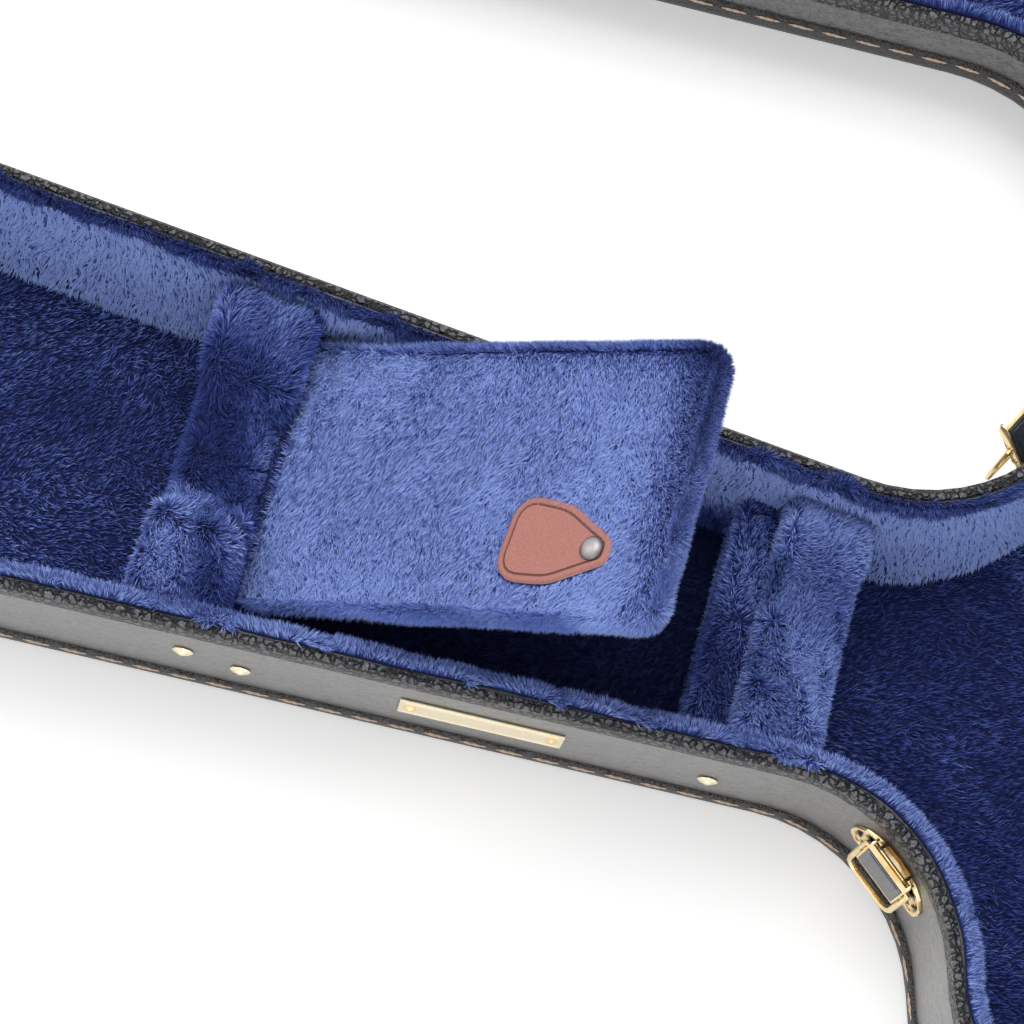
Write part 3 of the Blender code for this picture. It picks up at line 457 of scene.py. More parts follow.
def grow_pile(name, skin, body, *, tufts, length, width, upright, comb, tone, shade, contrast, clear_of, seed,
              part=None, broad=0.45, fine=0.5):
    """Tufts on a skin.

    comb, tone and upright give each root's leaning direction, lightness and rise; broad and fine are
    how much its direction wanders, shade is how light a tuft's root is beside its tip, as painted shade
    among the tufts, and contrast is how much tufts differ. part weights the faces that the tufts are spread
    over.
    """
    random = np.random.default_rng(seed)
    skin.data.calc_loop_triangles()
    places = np.empty(3 * len(skin.data.vertices))
    skin.data.vertices.foreach_get("co", places)
    places = places.reshape(-1, 3)
    corners = np.empty(3 * len(skin.data.loop_triangles), int)
    skin.data.loop_triangles.foreach_get("vertices", corners)
    first, second, third = [places[corners[side::3]] for side in range(3)]
    across = np.cross(second - first, third - first)
    area = np.linalg.norm(across, axis=1)
    facing = across / np.maximum(area, 1e-12)[:, None]
    share = area * part(first, facing) if part else area
    chosen = random.choice(len(area), tufts, p=share / share.sum())
    u, v = random.random((2, tufts, 1))
    u, v = np.where(u + v > 1.0, 1.0 - u, u), np.where(u + v > 1.0, 1.0 - v, v)
    roots = first[chosen] + u * (second - first)[chosen] + v * (third - first)[chosen]
    outward = facing[chosen]

    # A tuft with no room below the clear_of nodes is left out
    around = tree_of(clear_of)
    room = [around.ray_cast(Vector(root), Vector(ray), length)[3] for root, ray in zip(roots, outward)]
    room = np.array([length if gap is None else gap for gap in room])
    kept = room > 0.35 * length
    roots, outward, room = roots[kept], outward[kept], room[kept, None]

    lean = comb(roots, outward)
    lean = lean + broad * swirl(roots, BROAD_SWIRL, seed) + fine * swirl(roots, FINE_SWIRL, seed + 1)
    lean += random.normal(0.0, 0.3, roots.shape)
    lean -= outward * (lean * outward).sum(1, keepdims=True)
    lean /= np.linalg.norm(lean, axis=1, keepdims=True)
    rise = at_roots(upright, roots, outward)[:, None]
    lift = np.clip(rise + random.normal(0.0, 0.12, (len(roots), 1)), 0.12, 0.98)
    aim = outward * lift + lean * np.sqrt(1.0 - lift ** 2)
    side = np.cross(aim, outward)
    side /= np.linalg.norm(side, axis=1, keepdims=True)
    twist = random.uniform(-0.9, 0.9, (len(roots), 1))
    side = side * np.cos(twist) + np.cross(side, aim) * np.sin(twist)
    reach = np.minimum(length * random.uniform(0.6, 1.15, (len(roots), 1)), room / np.maximum(lift, 0.3))
    half = 0.5 * width * random.uniform(0.7, 1.3, (len(roots), 1))
    points = np.stack([roots - side * half, roots + side * half, roots + aim * reach], axis=1)

    count = len(roots)
    mesh = bpy.data.meshes.new(name)
    mesh.from_pydata(points.reshape(-1, 3), [], np.arange(3 * count).reshape(-1, 3))
    spread = at_roots(contrast, roots, outward)
    tip = tone(roots, outward) * (1.0 + spread * random.uniform(-1.0, 1.0, count))
    # Roots are painted darker than the tips, as painted shade among the tufts
    root = tip * at_roots(shade, roots, outward)
    values = np.stack([root, root, tip], axis=1).ravel()
    mesh.attributes.new("pile", "FLOAT", "POINT").data.foreach_set("value", values.astype(np.float32))
    piece = linked_piece(name, mesh)
    give_finish(piece, plush)
    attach(piece, body)


def brushed(points, strength, seed):
    """Lightness of patches that were brushed one way or the other."""
    patches = swirl(points, 0.028, seed)[:, 0] + 0.6 * swirl(points, 0.011, seed + 1)[:, 1]
    return 1.0 + strength * np.tanh(0.8 * patches)


def dress_skin(skin, name, body, ground, *replaced):
    """Gives a finished skin its plush, its ground's painted light and shade, its body and its CAD nodes."""
    skin.name = name
    skin.data.polygons.foreach_set("use_smooth", [True] * len(skin.data.polygons))
    shades = skin.data.attributes.new("pile", "FLOAT", "POINT").data
    shades.foreach_set("value", np.full(len(shades), ground, np.float32))
    give_finish(skin, plush)
    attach(skin, body)
    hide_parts(*replaced)


PAD_BULGE = 0.008
MOUTH_RISE = 0.012
LINING_VOXEL = 0.0036
LIP_PROFILE = ((0.0010, 0.0009), (0.0022, 0.0013), (0.0033, 0.0009), (0.0039, -0.0006))


def lining_skin(half):
    """A half's plush skin in even faces, with a rounded lip.

    Also gives the half's axis, the rim's level along it, and the rim's points and outward directions.
    """
    shape = bmesh.new()
    shape.from_mesh(nodes[half + "_lining"].data)
    bmesh.ops.remove_doubles(shape, verts=shape.verts, dist=WELD)
    panel = "base_bottom_panel" if half == "base" else "lid_top_panel"
    shell = tree_of((half + "_side_wall", half + "_rim_binding", panel))
    hidden = [face for face in shape.faces
              if shell.ray_cast(face.calc_center_median(), face.normal, 0.002)[3] is not None]
    bmesh.ops.delete(shape, geom=hidden, context="FACES")
    axis = Vector((0.0, 0.0, 1.0)) if half == "base" else Vector(LID_AXIS)
    top = max(vert.co.dot(axis) for vert in shape.verts)
    flat = [face for face in shape.faces
            if face.normal.dot(axis) > 0.85 and face.calc_center_median().dot(axis) > top - 0.004]
    bmesh.ops.delete(shape, geom=flat, context="FACES")

    # The mouth is closed well above the rim, so that remaking the faces leaves the walls straight
    mouth = bmesh.ops.contextual_create(shape, geom=[edge for edge in shape.edges if edge.is_boundary])
    cap = mouth["faces"][0]
    level = cap.calc_center_median().dot(axis)
    raised = bmesh.ops.extrude_face_region(shape, geom=[cap])["geom"]
    raised = [part for part in raised if isinstance(part, bmesh.types.BMVert)]
    bmesh.ops.delete(shape, geom=[cap], context="FACES_ONLY")
    bmesh.ops.translate(shape, verts=raised, vec=axis * MOUTH_RISE)
    bmesh.ops.recalc_face_normals(shape, faces=shape.faces)
    mesh = bpy.data.meshes.new(half + "_lining_skin")
    shape.to_mesh(mesh)
    shape.free()
    piece = linked_piece(half + "_lining_skin", mesh)
    apply_modifier(piece, "REMESH", mode="VOXEL", voxel_size=LINING_VOXEL)
    apply_modifier(piece, "SMOOTH", factor=0.5, iterations=1)
    lumps = bpy.data.textures.new(half + "_lining_lumps", "CLOUDS")
    lumps.noise_scale = 0.035
    apply_modifier(piece, "DISPLACE", texture=lumps, strength=0.0016, mid_level=0.5)

    # The wall pads bulge towards their foot, the skin is cut off level with the rim, and a rounded
    # lip is added from its edge out to the binding
    shape = bmesh.new()
    shape.from_mesh(piece.data)
    bmesh.ops.reverse_faces(shape, faces=shape.faces)
    shape.normal_update()
    deep = level - min(vert.co.dot(axis) for vert in shape.verts)
    for vert in shape.verts:
        sideways = vert.normal - axis * vert.normal.dot(axis)
        upright = min(max((sideways.length - 0.3) / 0.4, 0.0), 1.0)
        share = min(max((level - vert.co.dot(axis)) / deep, 0.0), 1.0)
        vert.co += PAD_BULGE * share * upright * sideways
    everything = shape.verts[:] + shape.edges[:] + shape.faces[:]
    bmesh.ops.bisect_plane(shape, geom=everything, plane_co=axis * level, plane_no=axis, clear_outer=True)
    on_edge = [vert for vert in shape.verts if vert.is_boundary]
    bmesh.ops.remove_doubles(shape, verts=on_edge, dist=0.0012)
    loop = loop_through([edge for edge in shape.edges if edge.is_boundary])
    points = np.array([vert.co for vert in loop])
    outward = outward_of(points, axis)
    for _ in range(3):
        outward = outward + np.roll(outward, 1, axis=0) + np.roll(outward, -1, axis=0)
        outward /= np.linalg.norm(outward, axis=1, keepdims=True)
    inner = loop
    for reach, rise in LIP_PROFILE:
        outer = [shape.verts.new(point) for point in points + reach * outward + rise * np.array(axis)]
        for number in range(len(loop)):
            after = (number + 1) % len(loop)
            face = shape.faces.new((inner[number], inner[after], outer[after], outer[number]))
            face.normal_update()
            if face.normal.dot(axis) < 0.0 and rise > 0.0:
                face.normal_flip()
        inner = outer
    bmesh.ops.recalc_face_normals(shape, faces=shape.faces)
    if sum(face.normal.dot(axis) * face.calc_area() for face in shape.faces) < 0.0:
        bmesh.ops.reverse_faces(shape, faces=shape.faces)
    shape.to_mesh(piece.data)
    shape.free()
    return piece, np.array(axis), level, points, outward


PADDED_BLOCKS = ("compartment_end_ledge", "compartment_hinge_strip", "head_neck_cradle", "heel_neck_cradle")
NECK_END = 0.19
LIP_DEPTH = 0.0015
COMPARTMENT_MIDDLE = -0.125
COMPARTMENT_REACH = 0.115

for half, cross_pieces, density in (("base", PADDED_BLOCKS, 1.0), ("lid", (), 0.5)):
    skin, axis, level, rim_points, rim_outward = lining_skin(half)
    finder = KDTree(len(rim_points))
    for number, point in enumerate(rim_points):
        finder.insert(point, number)
    finder.balance()

    def inward(points):
        """From the rim towards the inside of the case."""
        nearest = np.array([finder.find(Vector(point))[1] for point in points])
        return -rim_outward[nearest]

    def on_floor(outward):
        return (outward @ axis > 0.6).astype(float)

    def on_lip(places):
        return places @ axis > level - LIP_DEPTH

    def rim_zone(places, facing):
        """The lip, without its outer side, which lies against the binding."""
        return on_lip(places) * ((facing * inward(places)).sum(axis=1) > -0.55)

    def rim_comb(points, outward):
        return 1.5 * inward(points) + 0.9 * axis

    def rim_tone(points, outward):
        """Painted light and shade: the near rim is painted lighter, as lit along its pile, and the far one
        darker, as seen against it.
        """
        far_shade_near_light = np.tanh(points[:, 1] / 0.03) * (half == "base")
        return (0.84 - 0.3 * far_shade_near_light) * brushed(points, 0.12, 7)

    def lining_comb(points, outward):
        """Down the walls, and along the floor."""
        floor = on_floor(outward)[:, None]
        down = np.array((0.25, 0.0, 0.0)) - 1.2 * axis
        return (1.0 - floor) * down + floor * np.array((1.0, 0.3, 0.0))

    def lining_rise(points, outward):
        return 0.34 + 0.3 * on_floor(outward)

    def lining_tone(points, outward):
        """Painted light and shade: walls painted lighter, as they catch the light, the floor painted dark, as
        it looks along its pile, and the compartment painted darker with depth.
        """
        floor = on_floor(outward)
        inside = COMPARTMENT_REACH - np.abs(points[:, 0] - COMPARTMENT_MIDDLE)
        compartment_shade = np.clip(inside / 0.02, 0.0, 1.0) * (half == "base")
        deep = np.clip((level - points @ axis - 0.02) / 0.04, 0.0, 1.0)
        return (2.3 * (1.0 - floor) + 0.62 * floor) * (1.0 - 0.75 * compartment_shade * deep) * brushed(points, 0.2, 5)

    def lining_contrast(points, outward):
        return 0.25 + 0.35 * on_floor(outward)

    # Painted shade at the tufts' roots, darker on the floor
    def root_shade(points, outward):
        return 0.75 - 0.4 * on_floor(outward)

    shell = (half + "_side_wall", half + "_rim_binding") + cross_pieces
    for region, tufts, part in (
        ("neck", 190000, lambda places, facing: (places[:, 0] < NECK_END) & ~on_lip(places)),
        ("body", 130000, lambda places, facing: (places[:, 0] >= NECK_END) & ~on_lip(places)),
    ):
        grow_pile(f"{half}_{region}_pile", skin, half, tufts=int(density * tufts), length=0.0045,
                  width=0.0009, upright=lining_rise, comb=lining_comb, tone=lining_tone, shade=root_shade,
                  contrast=lining_contrast, clear_of=shell, seed=11, part=part, broad=0.3, fine=0.3)
    grow_pile(half + "_rim_pile", skin, half, tufts=int(density * 190000), length=0.0058, width=0.0008,
              upright=0.6, comb=rim_comb, tone=rim_tone, shade=0.35, contrast=0.6,
              clear_of=(half + "_side_wall",), seed=13, part=rim_zone, broad=0.4, fine=0.75)
    apply_modifier(skin, "SOLIDIFY", thickness=0.0012, offset=-1.0)

    # The backing is painted pale on the walls as painted light, and dark on the floor and under the rim's
    # pile as painted shade
    heights = np.array([vert.co for vert in skin.data.vertices]) @ axis
    above_floor = np.clip((heights - heights.min() - 0.006) / 0.02, 0.0, 1.0)
    ground = 0.1 + 0.4 * above_floor * (heights < level - 0.004)
    dress_skin(skin, half + "_plush_lining", half, ground, half + "_lining")


# Neck cradles, ledge and strip: foam blocks with the same plush pulled over them and glued, their
# corners rounded and a little lumpy. The cradle near the headstock has the longest pile.
def padded_skin(node, name, voxel, relaxed, lumpy):
    """A CAD solid remade in even faces, relaxed and lightly lumped by its stuffing."""
    piece = linked_piece(name, nodes[node].data.copy())
    shape = bmesh.new()
    shape.from_mesh(piece.data)
    bmesh.ops.remove_doubles(shape, verts=shape.verts, dist=WELD)
    shape.to_mesh(piece.data)
    shape.free()
    apply_modifier(piece, "REMESH", mode="VOXEL", voxel_size=voxel)
    apply_modifier(piece, "SMOOTH", factor=0.5, iterations=relaxed)
    lumps = bpy.data.textures.new(name + "_lumps", "CLOUDS")
    lumps.noise_scale = 0.018
    apply_modifier(piece, "DISPLACE", texture=lumps, strength=lumpy, mid_level=0.5)
    return piece


def cradle_comb(points, outward):
    """Away from the middle of the block, and down its faces."""
    return np.array((0.3, 0.0, -0.8)) + 0.5 * np.sign(points[:, 1:2]) * np.array((0.0, 1.0, 0.0))


for node, voxel, tufts, length, light, brush in (
    ("head_neck_cradle", 0.0028, 90000, 0.0062, 0.8, 0.45),
    ("heel_neck_cradle", 0.0028, 75000, 0.0050, 1.12, 0.26),
    ("compartment_end_ledge", 0.0025, 20000, 0.0042, 0.86, 0.3),
    ("compartment_hinge_strip", 0.0014, 16000, 0.0035, 0.6, 0.3),
):
    others = tuple(block for block in PADDED_BLOCKS if block != node)
    skin = padded_skin(node, node + "_plush", voxel, relaxed=4, lumpy=0.0025)
    grow_pile(node + "_pile", skin, "base", tufts=tufts, length=length, width=0.0009, upright=0.6,
              comb=cradle_comb, tone=lambda points, outward: light * brushed(points, brush, 21),
              shade=0.22, contrast=0.4, clear_of=("base_lining", *others), seed=31, fine=0.35)
    dress_skin(skin, node + "_plush", "base", 0.1, node)

# Compartment lid: a stiff board wrapped in plush that has been brushed flat, so it looks lighter
# than the cradles. Its pile stands up round the edges, and it is painted darker along the free end
# and the far side as painted shade, and lighter along the near side as painted light.
LID_TILT = math.radians(37.0)
BOARD_SWELL = 0.0075
SWELL_WIDTH = 0.02
SWELL_LENGTH = 0.17
board_up = np.array((-math.sin(LID_TILT), 0.0, math.cos(LID_TILT)))
board_along = np.array((math.cos(LID_TILT), 0.0, math.sin(LID_TILT)))
skin = padded_skin("compartment_lid", "compartment_lid_plush", 0.0022, relaxed=4, lumpy=0.0012)
board_low, board_high = [np.array(corner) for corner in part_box("compartment_lid")]
free_end = board_high @ board_along

# Stuffing and pile swell the board's far side, most at its free end
shape = bmesh.new()
shape.from_mesh(skin.data)
for vert in shape.verts:
    outer = max((vert.co.y - board_high[1] + SWELL_WIDTH) / SWELL_WIDTH, 0.0)
    along = 1.0 - (free_end - vert.co.dot(Vector(board_along))) / SWELL_LENGTH
    vert.co.y += BOARD_SWELL * outer * min(max(along, 0.0), 1.0)
shape.to_mesh(skin.data)
shape.free()


def from_free_end(points):
    return free_end - points @ board_along


def board_comb(points, outward):
    """Down and towards the near side, and outwards close to the free end."""
    near_end = np.clip(1.0 - from_free_end(points) / 0.02, 0.0, 1.0)[:, None]
    return np.array((0.35, -1.0, 0.2)) + 1.3 * near_end * board_along


def board_tone(points, outward):
    """Painted shade along the free end and the far side, and painted light along the near side."""
    far_side = board_high[1] - points[:, 1]
    free_end_shade = 0.5 * np.exp(-((from_free_end(points) - 0.01) / 0.014) ** 2)
    far_side_shade = 0.2 * np.exp(-((far_side - 0.002) / 0.006) ** 2)
    near_side_light = 0.3 * np.exp(-(points[:, 1] - board_low[1]) / 0.02)
    return (1.36 - free_end_shade - far_side_shade + near_side_light) * brushed(points, 0.15, 41)


def board_rise(points, outward):
    return 0.36 + 0.3 * np.exp(-(from_free_end(points) / 0.016) ** 2)


def board_edges(places, facing):
    """The board's sides, with fewer tufts towards the hinge strip."""
    return (np.abs(facing @ board_up) < 0.75) * np.clip((0.19 - from_free_end(places)) / 0.1, 0.2, 1.0)


beside_board = ("pull_tab", "compartment_hinge_strip")
grow_pile("compartment_lid_pile", skin, "compartment_lid", tufts=190000, length=0.0048, width=0.0006,
          upright=board_rise, comb=board_comb, tone=board_tone, shade=0.45, contrast=0.45,
          clear_of=beside_board, seed=51, broad=0.3, fine=0.2)
grow_pile("compartment_lid_edge_pile", skin, "compartment_lid", tufts=130000, length=0.0056, width=0.0007,
          upright=0.72, comb=lambda points, outward: board_up + 0.0 * points, tone=board_tone, shade=0.3,
          contrast=0.6, clear_of=beside_board, seed=53, part=board_edges)
dress_skin(skin, "compartment_lid_plush", "compartment_lid", 0.3, "compartment_lid")

# Pull tab: brown leather cut to a plectrum's outline, with a pressed border groove and a raw, pale
# cut edge. It is riveted to the board.
leather, tree, shader = new_finish("brown_leather", (0.5, 0.2, 0.16), 0.4)
hide = add_node(tree, "TexNoise", {"Vector": object_place(tree), "Scale": 900.0, "Detail": 4.0})
cells = add_node(tree, "TexVoronoi", {"Vector": object_place(tree, (1.0, 0.5, 1.0)), "Scale": 1900.0})
skin_grain = add_node(tree, "Mix", {"Factor": 0.55, "A": hide.outputs["Fac"], "B": cells.outputs["Distance"]})
colour_by(tree, shader, skin_grain.outputs["Result"], (0.3, (0.42, 0.155, 0.125)),
          (0.65, (0.52, 0.205, 0.165)))
emboss(tree, shader, skin_grain.outputs["Result"], 0.00022, 0.6)
cut_edge, tree, shader = new_finish("leather_cut_edge", (0.9, 0.55, 0.42), 0.8)
nap = add_node(tree, "TexNoise", {"Vector": object_place(tree), "Scale": 2500.0, "Detail": 3.0})
colour_by(tree, shader, nap.outputs["Fac"], (0.35, (0.75, 0.36, 0.25)), (0.65, (1.0, 0.72, 0.58)))
groove, tree, shader = new_finish("pressed_groove", (0.16, 0.045, 0.035), 0.45)
dents = add_node(tree, "TexNoise", {"Vector": object_place(tree), "Scale": 1200.0})
emboss(tree, shader, dents.outputs["Fac"], 0.0002)


def select_faces(piece, wanted):
    """Enters edit mode on a piece with only the wanted faces selected."""
    select_only(piece)
    bpy.ops.object.mode_set(mode="EDIT")
    bpy.ops.mesh.select_mode(type="FACE")
    bpy.ops.mesh.select_all(action="DESELECT")
    bpy.ops.object.mode_set(mode="OBJECT")
    for face in piece.data.polygons:
        face.select = wanted(face)
    bpy.ops.object.mode_set(mode="EDIT")


tab = refined("pull_tab", "compartment_lid", "pull_tab_leather")
give_finish(tab, leather)
tab.data.materials.append(cut_edge)
tab.data.materials.append(groove)
select_faces(tab, lambda face: face.normal.dot(board_up) > 0.95)
bpy.ops.mesh.inset(thickness=0.0007, depth=0.0003)
bpy.ops.mesh.inset(thickness=0.0014, depth=0.0001)
bpy.ops.mesh.inset(thickness=0.0003, depth=-0.0004)
tab.active_material_index = 2
bpy.ops.object.material_slot_assign()
bpy.ops.mesh.inset(thickness=0.0005)
bpy.ops.mesh.inset(thickness=0.0005, depth=0.0003)
tab.active_material_index = 0
bpy.ops.object.material_slot_assign()
bpy.ops.object.mode_set(mode="OBJECT")
for face in tab.data.polygons:
    if abs(face.normal.dot(board_up)) < 0.5:
        face.material_index = 1


# Rivet: a domed steel cap with a satin top and a dark rolled rim.
def middle_of(node):
    low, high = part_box(node)
    return 0.5 * (Vector(low) + Vector(high))


steel, tree, shader = new_finish("satin_steel", (0.62, 0.6, 0.58), 0.46, 0.85)
place = add_node(tree, "TexCoord").outputs["Object"]
from_rivet = add_node(tree, "Mapping", {"Vector": place, "Location": -middle_of("tab_rivet")})
spread = add_node(tree, "VectorMath", {0: from_rivet.outputs["Vector"]}, operation="LENGTH")
rim = add_node(tree, "MapRange", {"Value": spread.outputs["Value"], "From Min": 0.0042, "From Max": 0.0056})
brushing = add_node(tree, "TexNoise", {"Vector": object_place(tree), "Scale": 1500.0, "Detail": 3.0})
colour_by(tree, shader, rim.outputs["Result"], (0.0, (0.4, 0.37, 0.37)), (0.9, (0.1, 0.095, 0.095)))
emboss(tree, shader, brushing.outputs["Fac"], 0.0001, 0.5)
give_finish(refined("tab_rivet", "compartment_lid", "tab_rivet_head", 0.0002), steel)

# Gilt hardware: pressed and plated brass. The plating is smooth, with fine rubbing marks that vary
# its tone and gloss.
gold, tree, shader = new_finish("gold_plated", (0.95, 0.74, 0.4), 0.18, 1.0)
rubbed = add_node(tree, "TexNoise", {"Vector": object_place(tree), "Scale": 160.0, "Detail": 5.0})
colour_by(tree, shader, rubbed.outputs["Fac"], (0.3, (0.88, 0.6, 0.25)), (0.6, (0.98, 0.8, 0.47)))
polish = add_node(tree, "MapRange", {"Value": rubbed.outputs["Fac"], "To Min": 0.1, "To Max": 0.3})
tree.links.new(polish.outputs["Result"], shader.inputs["Roughness"])

# The nameplate's and nails' brass is brushed, and looks pale from every side
brass, tree, shader = new_finish("brushed_brass", (0.95, 0.82, 0.55), 0.26, 0.85)
stretched = object_place(tree, (1.0, 1.0, 8.0))
rubs = add_node(tree, "TexNoise", {"Vector": stretched, "Scale": 260.0, "Detail": 4.0})
colour_by(tree, shader, rubs.outputs["Fac"], (0.3, (0.98, 0.76, 0.4)), (0.6, (1.0, 0.93, 0.72)))


def gilded(node, body, name, bevel=0.0):
    """A refined copy of a CAD node in gilt."""
    piece = refined(node, body, name, bevel)
    give_finish(piece, gold)
    return piece


for node in nodes:
    if node.startswith("hinge_") or node in ("handle_left_bracket", "handle_right_bracket"):
        gilded(node, body_of(nodes[node])[0], node + "_fitting", 0.0003)


# Nails: flower-headed brass nails driven through the wall into the cradles and the strip.
def nail_head(name, radius):
    """Flower-shaped head on the XY plane: eight petals round a small dome."""
    bpy.ops.object.select_all(action="DESELECT")
    bpy.ops.mesh.primitive_circle_add(vertices=16, radius=radius, fill_type="NGON")
    head = bpy.context.active_object
    head.name = name
    bpy.ops.object.mode_set(mode="EDIT")
    bpy.ops.mesh.select_all(action="SELECT")
    bpy.ops.mesh.extrude_region_move(TRANSFORM_OT_translate={"value": (0.0, 0.0, 0.08 * radius)})
    for thickness, depth in ((0.16, 0.16), (0.2, 0.06), (0.12, -0.1), (0.1, 0.14), (0.2, 0.12)):
        bpy.ops.mesh.inset(thickness=thickness * radius, depth=depth * radius)
    bpy.ops.object.mode_set(mode="OBJECT")
    for vert in head.data.vertices:
        angle = math.atan2(vert.co.y, vert.co.x)
        if vert.co.xy.length > 0.55 * radius and math.cos(8.0 * angle) < 0.0:
            vert.co.xy *= 0.84
            vert.co.z *= 0.8
    apply_modifier(head, "SUBSURF", levels=2, render_levels=2)
    select_only(head)
    bpy.ops.object.shade_smooth()
    return head


def placed_copy(piece, name, matrix, body, material):
    """A copy with its own mesh, put in its place with the object left at the origin."""
    copy = linked_piece(name, piece.data.copy())
    copy.data.transform(matrix)
    give_finish(copy, material)
    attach(copy, body)
    return copy


def stood_on(spot, normal):
    """Matrix that stands a head made on the XY plane on a surface."""
    return Matrix.Translation(spot) @ normal.to_track_quat("Z", "Y").to_matrix().to_4x4()


flower = nail_head("flower_nail", 0.0054)
wall_tree = tree_of(("base_side_wall",))
for node in nodes:
    if "_nail_" in node:
        spot, normal = wall_tree.find_nearest(middle_of(node))[:2]
        nail = placed_copy(flower, node + "_flower", stood_on(spot + 0.0003 * normal, normal), "base", brass)
        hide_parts(node)
bpy.data.objects.remove(flower)

# Nameplate: a thin engraved brass plate held by two small flower nails. Its field is left bare.
plate_middle = middle_of("nameplate")
plate_out = wall_tree.find_nearest(plate_middle)[1]
bpy.ops.object.select_all(action="DESELECT")
bpy.ops.mesh.primitive_cube_add(size=1.0, scale=(0.0755, 0.0198, 0.0012))
sheet = bpy.context.active_object
bpy.ops.object.transform_apply()
apply_modifier(sheet, "BEVEL", width=0.0004, segments=2)
select_faces(sheet, lambda face: face.normal.z > 0.99 and face.area > 0.0005)
bpy.ops.mesh.inset(thickness=0.0012)
bpy.ops.mesh.inset(thickness=0.0003, depth=-0.0002)
bpy.ops.mesh.inset(thickness=0.0005)
bpy.ops.mesh.inset(thickness=0.0003, depth=0.0002)
bpy.ops.object.mode_set(mode="OBJECT")
plate_run = plate_out.cross(Vector((0.0, 0.0, 1.0))).normalized()
plate_rise = plate_out.cross(plate_run)
turn = Matrix((plate_run, plate_rise, plate_out)).transposed().to_4x4()
matrix = Matrix.Translation(plate_middle - 0.0001 * plate_out) @ turn
plate = placed_copy(sheet, "nameplate_engraved", matrix, "base", brass)
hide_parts("nameplate")
bpy.data.objects.remove(sheet)
small_nail = nail_head("plate_nail", 0.0032)
for side, side_name in ((-1, "left"), (1, "right")):
    seat = plate_middle + side * 0.0325 * plate_run + 0.0004 * plate_out
    placed_copy(small_nail, f"nameplate_nail_{side_name}", stood_on(seat, plate_out), "base", gold)
bpy.data.objects.remove(small_nail)

# Draw latches: an oval plate with a raised rim and pierced triangles, a pressed lever with a black
# enamelled inlay, and a bent wire bail that pulls down on a hooked keeper on the lid.
enamel, tree, shader = new_finish("black_enamel", (0.03, 0.034, 0.045), 0.28)
shader.inputs["Coat Weight"].default_value = 0.4
stretched = object_place(tree, (1.0, 1.0, 0.2))
streaks = add_node(tree, "TexNoise", {"Vector": stretched, "Scale": 500.0, "Detail": 3.0})
colour_by(tree, shader, streaks.outputs["Fac"], (0.3, (0.018, 0.02, 0.028)), (0.7, (0.055, 0.06, 0.08)))

# The inlay, as it lies on a shut lever whose pin is at the origin and whose front faces +Y
bpy.ops.object.select_all(action="DESELECT")
bpy.ops.mesh.primitive_cube_add(size=1.0, location=(0.0, 0.0037, -0.01025), scale=(0.0234, 0.0008, 0.0209))
inlay = bpy.context.active_object
bpy.ops.object.transform_apply()
apply_modifier(inlay, "BEVEL", width=0.00025, segments=2)
select_faces(inlay, lambda face: face.normal.y > 0.99 and face.area > 0.0002)
bpy.ops.mesh.inset(thickness=0.0014, depth=0.0)
bpy.ops.mesh.inset(thickness=0.0004, depth=0.0003)
bpy.ops.object.mode_set(mode="OBJECT")

# One pierced triangle, drawn as a thin black prism, and the places of three at each end of a plate:
# sideways, up, and its turn in degrees
bpy.ops.object.select_all(action="DESELECT")
bpy.ops.mesh.primitive_cylinder_add(vertices=3, radius=0.0024, depth=0.0008, rotation=(math.pi / 2, 0.0, 0.0))
notch = bpy.context.active_object
bpy.ops.object.transform_apply()
apply_modifier(notch, "BEVEL", width=0.0003, segments=2)

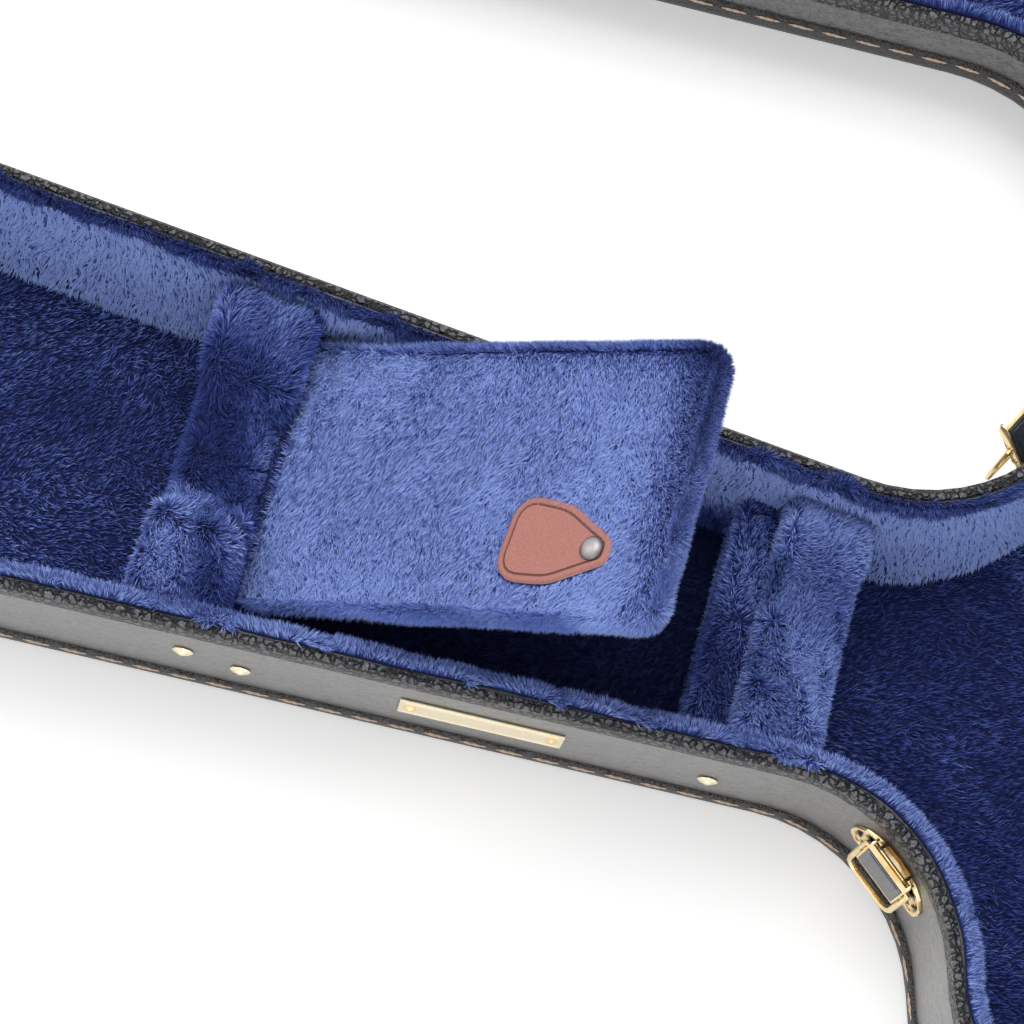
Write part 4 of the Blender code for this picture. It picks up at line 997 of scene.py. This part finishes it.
NOTCHES = ((0.0165, 0.0055, 0.0), (0.0165, -0.0055, 60.0), (0.0207, 0.0, 30.0))
PLATE_HEIGHT = 0.0442
THROAT_RADIUS = 0.084
joint_places = {joint["name"]: Vector(joint["pos_m"]) for joint in frame["joints"]}
for latch, heading, hollow, opened in (
    ("throat_front", -129.0, True, 0.0),
    ("front_left", -90.0, False, 0.0),
    ("front_right", -90.0, False, 0.0),
    ("butt", 0.0, False, 0.0),
    ("throat_back", 152.0, True, 138.0),
):
    out = Vector((math.cos(math.radians(heading)), math.sin(math.radians(heading)), 0.0))
    turn = Matrix.Rotation(math.radians(heading - 90.0), 4, "Z")
    pin = joint_places[f"lever_{latch}_pivot"]
    plate = gilded(f"latch_{latch}_plate", "base", f"latch_{latch}_back_plate")
    middle = pin - 0.0083 * out
    select_faces(plate, lambda face: face.normal.dot(out) > 0.8 and abs(face.center.z - PLATE_HEIGHT) < 0.0165
                 and (face.center - middle).dot(out) < 0.0058)
    bpy.ops.mesh.inset(thickness=0.0016, use_boundary=True)
    bpy.ops.mesh.inset(thickness=0.0005, depth=-0.0005)
    bpy.ops.object.mode_set(mode="OBJECT")
    for side, side_name in ((-1, "left"), (1, "right")):
        for number, (aside, rise, spin) in enumerate(NOTCHES, 1):
            depth = 0.0015 + (THROAT_RADIUS - math.sqrt(THROAT_RADIUS ** 2 - aside ** 2) if hollow else 0.0)
            seat = Vector((middle.x, middle.y, PLATE_HEIGHT + rise))
            matrix = Matrix.Translation(seat) @ turn @ Matrix.Translation((side * aside, depth, 0.0))
            matrix = matrix @ Matrix.Rotation(math.radians(side * spin), 4, "Y")
            placed_copy(notch, f"latch_{latch}_notch_{side_name}_{number}", matrix, "base", enamel)
    gilded(f"latch_{latch}_lever", f"lever_{latch}", f"latch_{latch}_lever_cover", 0.0003)
    matrix = Matrix.Translation(pin) @ turn @ Matrix.Rotation(math.radians(opened), 4, "X")
    placed_copy(inlay, f"latch_{latch}_inlay", matrix, f"lever_{latch}", enamel)
    gilded(f"latch_{latch}_bail", f"bail_{latch}", f"latch_{latch}_bail_wire")
    gilded(f"latch_{latch}_keeper", "lid", f"latch_{latch}_keeper_hook", 0.0002)
bpy.data.objects.remove(inlay)
bpy.data.objects.remove(notch)

# Handle: a padded grip covered in grained black leather, on two brass strap links.
grip, tree, shader = new_finish("handle_leather", (0.03, 0.03, 0.03), 0.38)
shader.inputs["Specular IOR Level"].default_value = 0.6
folds_and_crease_shade = add_node(tree, "TexVoronoi", {"Vector": object_place(tree), "Scale": 800.0},
                 feature="DISTANCE_TO_EDGE")
# Painted shade in the creases between the folds
colour_by(tree, shader, folds_and_crease_shade.outputs["Distance"], (0.0, (0.006, 0.006, 0.007)), (0.2, (0.05, 0.05, 0.053)))
emboss(tree, shader, folds_and_crease_shade.outputs["Distance"], 0.0007)
give_finish(refined("handle_grip", "handle", "handle_grip_leather", 0.0002), grip)
for side in ("left", "right"):
    gilded(f"handle_{side}_link", "handle", f"handle_{side}_strap", 0.0002)
